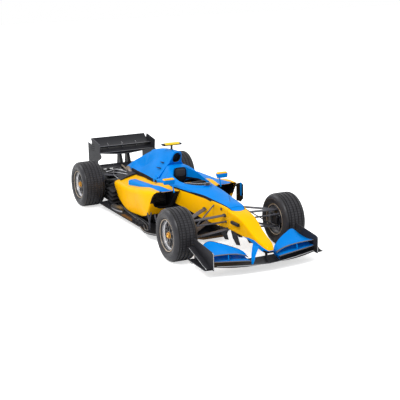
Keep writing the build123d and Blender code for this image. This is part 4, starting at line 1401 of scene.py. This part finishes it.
class CAR_OT_cockpit(bpy.types.Operator):
    """Belts, wheel display, wheel buttons, and windscreen with a painted highlight along its top edge"""

    bl_idname = "car.cockpit"
    bl_label = "Cockpit"

    def execute(self, context):
        straps = shoulder_strap(-1) + shoulder_strap(1)
        if straps:
            done(join("shoulder_belts", straps), "webbing", 60)
        centre, face = middle("steering_wheel"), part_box("steering_wheel")[0].x
        display = plate("wheel_display", [
            (face - 0.001, centre.y + 0.034 * c, centre.z + 0.01 + 0.017 * s) for c, s in oval(20, 0.3)
        ], (-0.004, 0, 0), bevel=0.001)
        done(display, "glass", body="steering_wheel")
        buttons = [
            loft("button", [
                [
                    (face - push, centre.y + side * y + size * share * c, centre.z + z + size * share * s)
                    for c, s in circle(16)
                ] for push, share in ((-0.003, 1.0), (0.004, 1.0), (0.006, 0.8), (0.0065, 0.3))
            ])
            for y, z, size in ((0.06, 0.02, 0.0065), (0.064, -0.004, 0.0055), (0.04, -0.026, 0.0075),
                               (0.014, -0.034, 0.0065))
            for side in (-1, 1)
        ]
        for first, colour, slot in ((0, "red", "lamp_red"), (1, "yellow", "yellow_paint")):
            made = join(f"wheel_buttons_{colour}", buttons[first::2])
            done(made, f"{colour}_trim", 40, "steering_wheel")
        screen_rows = (
            # half width, ahead, foot height
            (0.0, -0.632, 0.716), (0.02, -0.634, 0.716), (0.042, -0.648, 0.714), (0.072, -0.695, 0.709),
            (0.102, -0.758, 0.704), (0.13, -0.835, 0.7), (0.152, -0.905, 0.697), (0.17, -0.975, 0.694),
        )
        foot = [(ahead(x), -half, z) for half, x, z in reversed(screen_rows)]
        foot += [(ahead(x), half, z) for half, x, z in screen_rows[1:]]
        count, lean_back, lean_in = len(foot), 0.35, 0.25
        rise = [0.03 * sin(pi * (k + 0.6) / (count + 0.2)) + 0.004 for k in range(count)]

        def narrowing(y, height):
            """How far the screen leans in at a height over its foot."""
            return lean_in * height * (1 if y > 0 else -1) * (abs(y) > 0.01)

        screen = ribbon("windscreen", foot, (0, 0, 0.004))
        for vertex in screen.data.vertices:
            near = min(range(count), key=lambda k: (Vector(foot[k]).xy - vertex.co.xy).length)
            if vertex.co.z > foot[near][2] + 0.002:
                vertex.co.z = foot[near][2] + rise[near]
                vertex.co.x -= lean_back * rise[near]
                vertex.co.y -= narrowing(vertex.co.y, rise[near])
        done(modify(screen, "SOLIDIFY", thickness=0.003, offset=0.0), "tinted_screen", 60)
        # painted highlight: a near white tube along the windscreen's top edge
        edge = [
            (x - lean_back * up, y - narrowing(y, up), z + up) for (x, y, z), up in zip(foot, rise)
        ]
        done(tube("windscreen_highlight", edge, 0.0028), "highlight_pale", 60)
        return {"FINISHED"}


class CAR_OT_radiators(bpy.types.Operator):
    """Radiator cores and dividing fins inside the inlets"""

    bl_idname = "car.radiators"
    bl_label = "Radiators"

    def execute(self, context):
        fins = [plate("radiator_core", [
            (ahead(-1.232), 0.42 + 0.088 * c, 0.5 + 0.072 * s) for c, s in oval(24, 0.4)
        ], (-0.03, 0.01, 0), bevel=0.002)]
        for k in range(5):
            step = 0.024 * k
            fins.append(plate("fin", route((
                (-1.228, 0.345, 0.446 + step), (-1.2, 0.345, 0.452 + step),
                (-1.2, 0.495, 0.452 + step), (-1.228, 0.495, 0.446 + step),
            )), (0, 0, 0.0015), bevel=0.0))
        both_sides("radiator_cores", fins, "radiator_core")
        return {"FINISHED"}


# ---------------------------------------------------------------- rear of the car
class CAR_OT_rear_wing(bpy.types.Operator):
    """Lips, belly, slots and brackets of the rear wing, and its pylons' covers; pale tubes along its
    leading edges, a crease and its end plates' edges are painted highlights, and a dark vane that fills
    the gap over the main plane is painted shade
    """

    bl_idname = "car.rear_wing"
    bl_label = "Rear wing"

    def execute(self, context):
        low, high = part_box("rear_wing_flap")
        trail, end_gap = low.x - 0.001, 0.004
        gurney = plate("rear_lip", [
            (trail, y, high.z + up) for y, up in (
                (low.y + end_gap, -0.004), (high.y - end_gap, -0.004), (high.y - end_gap, 0.012),
                (low.y + end_gap, 0.012),
            )
        ], (0.003, 0, 0), bevel=0.0008)
        done(gurney)
        main_low, main_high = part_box("rear_wing_main")
        under, span = main_low.z + 0.012, 0.444
        belly = loft("wing_belly", [
            [
                (main_high.x - back, y, under + rise - deep * share)
                for back, rise, share in (
                    (0.002, 0.008, 0.0), (0.01, 0.0, 0.55), (0.035, 0.0, 0.95), (0.08, 0.004, 1.0),
                    (0.13, 0.012, 0.7), (0.175, 0.03, 0.2), (0.185, 0.04, 0.0), (0.09, 0.03, 0.0),
                )
            ]
            for y, deep in (
                (-span, 0.012), (-0.38, 0.022), (-0.25, 0.044), (-0.1, 0.06), (0.0, 0.063), (0.1, 0.06),
                (0.25, 0.044), (0.38, 0.022), (span, 0.012),
            )
        ])
        done(belly, angle=40)
        # painted highlight: pale tubes along the main plane's and flap's leading edges and along a crease
        # under the main plane
        highlight_lines = [
            tube("lead", [(x, y, z) for y in (-span, 0.0, span)], 0.0055)
            for x, z in ((main_high.x + 0.001, main_low.z + 0.008), (high.x + 0.001, low.z + 0.004))
        ]
        highlight_lines.append(tube("crease", [
            (main_high.x - 0.012, y, under - deep) for y, deep in (
                (-0.44, 0.008), (-0.25, 0.036), (0.0, 0.052), (0.25, 0.036), (0.44, 0.008),
            )
        ], 0.004))
        done(join("rear_wing_highlights", highlight_lines), "highlight_grey", 50)
        # painted shade: a dark vane fills the gap between the main plane and the flap
        section = (
            (0.085, 0.012), (0.1, 0.018), (0.14, 0.02), (0.175, 0.016), (0.14, 0.01), (0.1, 0.006),
        )
        vane = loft("slot_shade_vane", [
            [(main_high.x - back, y, main_high.z + rise) for back, rise in section]
            for y in (-span, 0.0, span)
        ])
        done(vane, angle=40)
        cover = loft("pylon_cover", [
            [(ahead(x) + chord * c, 0.064 + thick * s, z) for c, s in circle(20)]
            for x, z, chord, thick in (
                (-3.44, 0.4, 0.06, 0.016), (-3.452, 0.47, 0.064, 0.019), (-3.475, 0.55, 0.066, 0.02),
                (-3.505, 0.62, 0.066, 0.02), (-3.53, 0.69, 0.064, 0.017),
            )
        ])
        both_sides("pylon_cover", [cover], angle=50)
        half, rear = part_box("rear_wing_endplates")[1].y, rear_axle.x
        slots = []
        for k in range(4):
            z = 0.8 - 0.032 * k
            slots.append(plate("slot", upright(half - 0.001, (
                (-0.6, z), (-0.42, z + 0.014), (-0.42, z + 0.02), (-0.6, z + 0.008),
            ), rear), (0, 0.0035, 0), bevel=0.001))
        both_sides("endplate_louvres", slots, "dark_carbon")
        # painted highlight: tubes of paler carbon along the end plates' edges
        both_sides("rear_plate_highlights", [
            tube("edge", upright(half - 0.005, rows, rear), 0.004, smooth=False) for rows in (
                ((-0.193, 0.845), (-0.208, 0.716), (-0.158, 0.692), (-0.15, 0.668), (-0.176, 0.638),
                 (-0.3, 0.585)),
                ((-0.193, 0.845), (-0.478, 0.89), (-0.506, 0.89), (-0.548, 0.79), (-0.698, 0.812)),
            )
        ], "arm_carbon")
        both_sides("slot_brackets", [
            plate("bracket", upright(y, (
                (-0.4, 0.742), (-0.47, 0.76), (-0.46, 0.815), (-0.42, 0.8),
            ), rear), (0, 0.005, 0)) for y in (-0.005, 0.228)
        ], "machined")
        return {"FINISHED"}


def left_and_right(name, make, look, angle):
    """Makes the pieces of each side in turn, and joins and finishes them for the chassis."""
    pieces = [piece for side in (1, -1) for piece in make(side)]
    return done(join(name, pieces), look, angle)


class CAR_OT_engine_bay(bpy.types.Operator):
    """Exhausts, stays, springs, dampers, pipes, towers and covers around the gearbox"""

    bl_idname = "car.engine_bay"
    bl_label = "Engine bay"

    def execute(self, context):
        rear, damper_half, damper_height = rear_axle.x, 0.055, 0.455

        def exhaust(side):
            return [tube("exhaust", route((
                (0.62, 0.15, 0.43), (0.5, 0.185, 0.455), (0.36, 0.19, 0.5), (0.24, 0.165, 0.525),
                (0.16, 0.15, 0.53),
            ), side, rear), 0.034)]

        def stay(side):
            rows = ((-0.085, 0.15, 0.528), (0.15, 0.175, 0.512), (0.385, 0.2, 0.5))
            return [tube("wing_stay", route(rows, side, rear), 0.011)]

        def spring(side):
            return [tube("spring", [
                (rear + 0.1 - 0.0035 * k, side * damper_half + 0.026 * cos(k * pi / 4),
                 damper_height + 0.026 * sin(k * pi / 4)) for k in range(56)
            ], 0.0045)]

        def damper(side):
            return [loft("damper", [
                [(rear + x, side * damper_half + r * c, damper_height + r * s) for c, s in circle(20)]
                for x, r in ((0.14, 0.006), (0.13, 0.019), (-0.02, 0.019), (-0.025, 0.01),
                             (-0.11, 0.01), (-0.12, 0.018), (-0.14, 0.006))
            ])]

        def pipes(side):
            hoses = [
                tube("hose", route((
                    (0.46, 0.1 + out, 0.47 - drop), (0.36, 0.15 + out, 0.44 - drop),
                    (0.2, 0.16 + out, 0.395 - drop), (0.06, 0.13 + out, 0.375 - drop),
                    (-0.06, 0.1 + out * 0.5, 0.385 - drop),
                ), side, rear), 0.0075) for out, drop in ((0, 0), (0.018, 0.02), (0.04, 0.045))
            ]
            brake = ((0.05, 0.16, 0.47), (0.03, 0.36, 0.462), (0.015, 0.56, 0.452))
            return hoses + [tube("brake_line", route(brake, side, rear), 0.004)]

        def lines(side):
            return [tube("line", route(run, side), 0.0085) for run in (
                ((-2.62, 0.26, 0.5), (-2.8, 0.36, 0.515), (-3.02, 0.4, 0.48), (-3.2, 0.36, 0.44)),
                ((-2.66, 0.38, 0.42), (-2.86, 0.42, 0.455), (-3.06, 0.36, 0.47), (-3.3, 0.24, 0.45)),
                ((-2.8, 0.22, 0.5), (-2.95, 0.3, 0.53), (-3.1, 0.34, 0.5), (-3.14, 0.44, 0.47)),
                ((-3.05, 0.18, 0.48), (-3.2, 0.24, 0.495), (-3.34, 0.28, 0.44), (-3.4, 0.24, 0.38)),
            )]

        def shield(side):
            return [loft("heat_shield", [
                [(rear + x, side * (0.225 + bulge * c), 0.3 + tall * s) for c, s in circle(20)]
                for x, bulge, tall in ((0.52, 0.01, 0.03), (0.46, 0.042, 0.085), (0.34, 0.055, 0.105),
                                       (0.22, 0.045, 0.085), (0.14, 0.012, 0.03))
            ])]

        left_and_right("exhaust_pipes", exhaust, "hot_metal", 50)
        left_and_right("wing_stays", stay, "sand_metal", 50)
        left_and_right("damper_springs", spring, "steel", 60)
        left_and_right("dampers", damper, "cast_metal", 40)
        left_and_right("hoses", pipes, "black_plastic", 60)
        left_and_right("cooling_lines", lines, "machined", 60)
        towers = [
            plate("tower", upright(half, (
                (-3.18, 0.23), (-3.14, 0.33), (-3.24, 0.4), (-3.32, height), (-3.46, height),
                (-3.54, 0.33), (-3.54, 0.18), (-3.3, 0.12),
            )), (0, 0.006, 0)) for half, height in ((0.19, 0.475), (0.3, 0.468), (0.4, 0.468))
        ] + [
            plate("shelf", route((
                (-3.2, 0.12, z), (-3.22, 0.4, z), (-3.5, 0.4, z + 0.03), (-3.48, 0.1, z + 0.03),
            )), (0, 0, 0.005)) for z in (0.33, 0.4)
        ]
        both_sides("diffuser_towers", towers)
        left_and_right("gearbox_covers", shield, "cast_metal", 50)
        return {"FINISHED"}


class CAR_OT_floor_details(bpy.types.Operator):
    """Fences, pale ribs and a lip along the floor's edge as painted highlights, corners, bowls and studs
    on the floor
    """

    bl_idname = "car.floor_details"
    bl_label = "Floor details"

    def execute(self, context):
        top = 0.098
        fences = [
            plate("fence", route((
                (x, half, top), (x - long, half - 0.03, top), (x - long, half - 0.03, top + tall),
                (x - 0.05, half - 0.005, top + tall * 0.7),
            )), (0, 0.003, 0), bevel=0.001)
            for x, half, long, tall in ((-2.42, 0.47, 0.2, 0.08), (-2.5, 0.53, 0.16, 0.06))
        ] + [
            plate("edge_vane", route((
                (x, 0.61, top), (x - 0.1, 0.66, top), (x - 0.1, 0.66, top + 0.045),
                (x - 0.02, 0.622, top + 0.05),
            )), (0, 0.003, 0), bevel=0.001) for x in (-1.3, -1.42, -1.54)
        ]
        both_sides("floor_fences", fences)
        bowl = loft("floor_bowl", [
            [(ahead(-2.33) + wide * 0.2 * c, 0.6 + wide * 0.06 * s, top + rise) for c, s in circle(32)]
            for rise, wide in ((-0.002, 1.0), (0.02, 0.97), (0.036, 0.88), (0.042, 0.72), (0.036, 0.62),
                               (0.034, 0.2))
        ])
        both_sides("floor_bowl", [bowl], "machined", 40)
        # painted highlight: pale grey tubes along the floor's edge and corner
        ribs = [
            tube("rib", [
                (ahead(x), half + shift * spread, top + 0.006) for x, half, spread in (
                    (-2.62, 0.47, 0.0), (-2.2, 0.5, 0.3), (-1.8, 0.505, 0.6), (-1.5, 0.515, 0.8),
                    (-1.3, 0.545, 0.9), (-1.16, 0.59, 1.0), (-1.09, 0.64, 0.6), (-1.07, 0.67, 0.0),
                )
            ], 0.0075) for shift in (0.0, 0.045, 0.09)
        ]
        corner = (
            (-1.3, 0.686), (-1.18, 0.712), (-1.06, 0.732), (-0.95, 0.722), (-0.86, 0.68), (-0.79, 0.6),
        )
        ribs.append(tube("lip", [(ahead(x), half, top + 0.002) for x, half in corner], 0.008))
        both_sides("floor_highlight_ribs", ribs, "highlight_grey", 50)
        section = ((0, 0.1), (0.6, 0.101), (1, 0.097), (1, 0.084), (0.6, 0.078), (0, 0.078))
        scoop = loft("floor_corners", [
            [(ahead(x), 0.48 + (half - 0.48) * share, z) for share, z in section] for x, half in corner
        ])
        both_sides("floor_corners", [scoop], "dark_carbon", 40)
        both_sides("floor_studs", [
            loft("stud", [
                [(ahead(x) + r * c, y + r * s, top + up) for c, s in circle(12)]
                for up, r in ((-0.001, 0.009), (0.0025, 0.009), (0.0035, 0.006), (0.002, 0.004))
            ]) for x, y in ((-2.1, 0.66), (-1.8, 0.66), (-1.5, 0.66), (-2.62, 0.62))
        ], "steel", 40)
        return {"FINISHED"}


# ---------------------------------------------------------------- suspension
def blade(inner, outer):
    """An arm of flattened oval section between two joints."""
    along = (outer - inner).normalized()
    chordwise = along.cross(Vector((0, 0, 1))).normalized()
    upwards = chordwise.cross(along).normalized()
    rings = []
    for share, chord, thick in (
        (0.0, 0.03, 0.009), (0.06, 0.034, 0.01), (0.16, 0.039, 0.0105), (0.5, 0.039, 0.0105),
        (0.84, 0.036, 0.0105), (0.94, 0.026, 0.01), (1.0, 0.016, 0.009),
    ):
        centre = inner.lerp(outer, share)
        rings.append([
            tuple(centre + chordwise * chord * c + upwards * thick * s) for c, s in circle(18)
        ])
    return loft("leg", rings)


class CAR_OT_front_arms(bpy.types.Operator):
    """Broad aerofoil wishbones of the suspension, with fairings at the tub"""

    bl_idname = "car.front_arms"
    bl_label = "Suspension arms"

    def execute(self, context):
        for name, (joint, reach, height), inner_ends in (
            # outer joint: ahead, half width, height; then the same of the legs' inner ends
            ("front_wishbones_upper", (0.0, 0.67, 0.455), ((0.07, 0.125, 0.4995), (-0.42, 0.148, 0.4775))),
            ("front_wishbones_lower", (0.0, 0.67, 0.236), ((0.12, 0.11, 0.3345), (-0.38, 0.128, 0.3215))),
            ("rear_wishbones_upper", (-3.14, 0.556, 0.44), ((-2.84, 0.105, 0.43), (-3.26, 0.075, 0.425))),
            ("rear_wishbones_lower", (-3.14, 0.556, 0.2), ((-2.864, 0.1, 0.175), (-3.24, 0.07, 0.205))),
        ):
            outer = Vector((ahead(joint), reach - 0.015, height))
            legs = [blade(Vector((ahead(x), half, z)), outer) for x, half, z in inner_ends]
            legs.append(loft("eye", [
                [(ahead(joint) + r * c, reach + r * s, height + up) for c, s in circle(24)]
                for up, r in ((-0.0128, 0.0165), (-0.011, 0.0185), (0.011, 0.0185), (0.0128, 0.0165))
            ]))
            made = both_sides(f"{name}_blades", legs, "arm_carbon", 40)
            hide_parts(name)
        both_sides("arm_fairings", [
            loft("boot", [
                [(ahead(x) + 0.034 * r * c, half + out, z + 0.021 * r * s) for c, s in circle(20)]
                for out, r in ((-0.016, 1.0), (0.0, 1.0), (0.008, 0.86), (0.012, 0.6))
            ]) for x, half, z in ((0.07, 0.137, 0.498), (-0.42, 0.166, 0.4765), (0.12, 0.123, 0.333),
                                  (-0.38, 0.143, 0.32))
        ], "black_plastic", 50)
        marker = plate("access_cap", [
            (ahead(-0.005) + 0.02 * c, 0.1335, 0.56 + 0.018 * s) for c, s in oval(20, 0.5)
        ], (0, 0.004, 0), bevel=0.001)
        both_sides("access_cap", [marker], "black_plastic")
        return {"FINISHED"}


class CAR_OT_bodywork(bpy.types.Operator):
    """Sidepods with rounded fronts, and an engine cover with a straight tail"""

    bl_idname = "car.bodywork"
    bl_label = "Bodywork"

    def execute(self, context):
        for name in sides:
            pod = copy_of(f"sidepod_{name}", f"rounded_sidepod_{name}")
            modify(pod, "REMESH", mode="VOXEL", voxel_size=0.009)
            front = pod.vertex_groups.new(name="front")
            for vertex in pod.data.vertices:
                share = min(max((vertex.co.x - ahead(-1.4)) / 0.2, 0.06), 1.0)
                front.add([vertex.index], share, "REPLACE")
            modify(pod, "SMOOTH", factor=0.5, iterations=30, vertex_group="front")
            done(pod, "pod_paint", 50)
            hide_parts(f"sidepod_{name}")
        cover = copy_of("engine_cover", "straight_engine_cover")
        spine = ((-3.24, 0.515), (-3.15, 0.56), (-2.87, 0.69), (-2.56, 0.815), (-2.36, 0.89))
        for vertex in cover.data.vertices:
            x, y, z = vertex.co
            for (back, low), (fore, high) in zip(spine, spine[1:]):
                if ahead(back) <= x < ahead(fore):
                    top = low + (high - low) * (x - ahead(back)) / (ahead(fore) - ahead(back))
                    vertex.co.z = min(z, top - 0.35 * abs(y))
        done(cover, "race_paint")
        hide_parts("engine_cover")
        return {"FINISHED"}


class CAR_OT_tail(bpy.types.Operator):
    """Shroud, vanes, panels and brake drums at the tail, and the sidepods' front forks"""

    bl_idname = "car.tail"
    bl_label = "Tail"

    def execute(self, context):
        shroud = loft("tail_shroud", [
            [(ahead(x), half * c, (top + low) / 2 + (top - low) / 2 * s) for c, s in oval(28, 0.7)]
            for x, half, top, low in (
                (-2.52, 0.15, 0.47, 0.3), (-2.66, 0.146, 0.486, 0.3), (-2.82, 0.128, 0.484, 0.3),
                (-3.0, 0.108, 0.47, 0.296), (-3.16, 0.086, 0.452, 0.29), (-3.26, 0.074, 0.44, 0.286),
            )
        ])
        done(shroud, angle=50)
        section = ((0, 0), (0.07, 0.005), (0.14, 0.005), (0.2, 0), (0.14, -0.002), (0.07, -0.003))
        vanes = []
        for z, wide, start in (
            (0.13, 0.6, -2.5), (0.178, 0.59, -2.54), (0.226, 0.57, -2.58), (0.274, 0.55, -2.62),
        ):
            rings = []
            for half in (0.4, 0.46, 0.52, wide - 0.01, wide):
                lift = 0.02 * sin(pi * (half - 0.4) / (wide - 0.4))
                rings.append([
                    (ahead(start - run), half, z + lift + 0.03 * (run / 0.2) ** 2 + up)
                    for run, up in section
                ])
            vanes.append(loft("vane", rings))
        vanes += [
            plate("post", upright(half, (
                (-2.6, 0.098), (-2.72, 0.098), (-2.75, 0.32), (-2.66, 0.31),
            )), (0, 0.005, 0)) for half in (0.41, 0.5)
        ]
        both_sides("stacked_vanes", vanes, angle=40)
        fork = (
            (-0.016, 0.0), (0.016, 0.0), (0.012, 0.52), (0.036, 0.92), (0.022, 1.0), (0.0, 0.7),
            (-0.022, 1.0), (-0.036, 0.92), (-0.012, 0.52),
        )
        both_sides("pod_forks", [
            plate("fork", [(ahead(x), half + out, 0.097 + tall * up) for out, up in fork],
                  (-0.008, 0, 0), bevel=0.002)
            for x, half, tall in ((-1.075, 0.64, 0.25), (-0.96, 0.585, 0.245))
        ], "arm_carbon", 40)
        section = (
            (0.0, 0.0), (0.35, 0.006), (0.7, 0.004), (1.0, 0.0), (1.0, -0.012), (0.7, -0.01),
            (0.35, -0.01), (0.0, -0.014),
        )
        both_sides("tail_panels", [
            loft("panel", [
                [
                    (ahead(x), inner + (outer * shrink - inner) * share,
                     high + lift + (low - high) * share ** 2 + up) for share, up in section
                ]
                for x, inner, outer, high, low in (
                    (-2.56, 0.15, 0.44, 0.53, 0.46), (-2.72, 0.14, 0.405, 0.528, 0.455),
                    (-2.9, 0.125, 0.35, 0.515, 0.45), (-3.05, 0.11, 0.3, 0.5, 0.455),
                    (-3.2, 0.095, 0.25, 0.48, 0.45),
                )
            ]) for lift, shrink in ((0.0, 1.0), (-0.07, 0.86))
        ], angle=40)
        drums = [turned("drum", [
            (-0.06, 0.06), (-0.06, 0.12), (-0.052, 0.152), (-0.04, 0.16), (-0.004, 0.162), (0.0, 0.156),
            (0.0, 0.06),
        ], Vector((rear_axle.x, 0.552, rear_axle.z)), steps=48)]
        drums += [
            tube("duct", route((
                (-2.56, 0.3 + out, 0.44 - drop), (-2.7, 0.38 + out, 0.43 - drop),
                (-2.86, 0.46 + out, 0.4 - drop), (-2.98, 0.505, 0.37 - drop),
                (-3.06, 0.515, 0.35 - drop * 0.8),
            )), 0.024) for drop, out in ((0, 0), (0.075, -0.05), (0.15, -0.02))
        ]
        both_sides("rear_brake_drums", drums, "black_plastic", 40)
        return {"FINISHED"}


class CAR_PT_panel(bpy.types.Panel):
    """Lists the steps that dress the car"""

    bl_label = "Racing Car"
    bl_space_type = "VIEW_3D"
    bl_region_type = "UI"
    bl_category = "Racing Car"

    def draw(self, context):
        for step in steps:
            self.layout.operator(step.bl_idname)


settings = {
    "car_colours": CarColours,
    "car_tyres": TyreSettings,
    "car_wheels": WheelSettings,
    "car_stage": StageSettings,
}
steps = (
    CAR_OT_stage, CAR_OT_finishes, CAR_OT_tyres, CAR_OT_wheels, CAR_OT_brake_ducts,
    CAR_OT_front_flaps, CAR_OT_wing_pillars, CAR_OT_endplate_details, CAR_OT_airbox,
    CAR_OT_camera_pod, CAR_OT_mirror_glasses, CAR_OT_antennas, CAR_OT_headrest, CAR_OT_cockpit,
    CAR_OT_radiators, CAR_OT_rear_wing, CAR_OT_engine_bay, CAR_OT_floor_details,
    CAR_OT_front_arms, CAR_OT_bodywork, CAR_OT_tail,
)
classes = (*settings.values(), *steps, CAR_PT_panel)


def register():
    for cls in classes:
        bpy.utils.register_class(cls)
    for name, group in settings.items():
        setattr(bpy.types.Scene, name, PointerProperty(type=group))


def unregister():
    for name in settings:
        delattr(bpy.types.Scene, name)
    for cls in reversed(classes):
        bpy.utils.unregister_class(cls)


def main():
    """Dresses the car step by step."""
    register()
    for step in steps:
        getattr(bpy.ops.car, step.bl_idname.split(".")[1])()


if __name__ == "__main__":
    main()
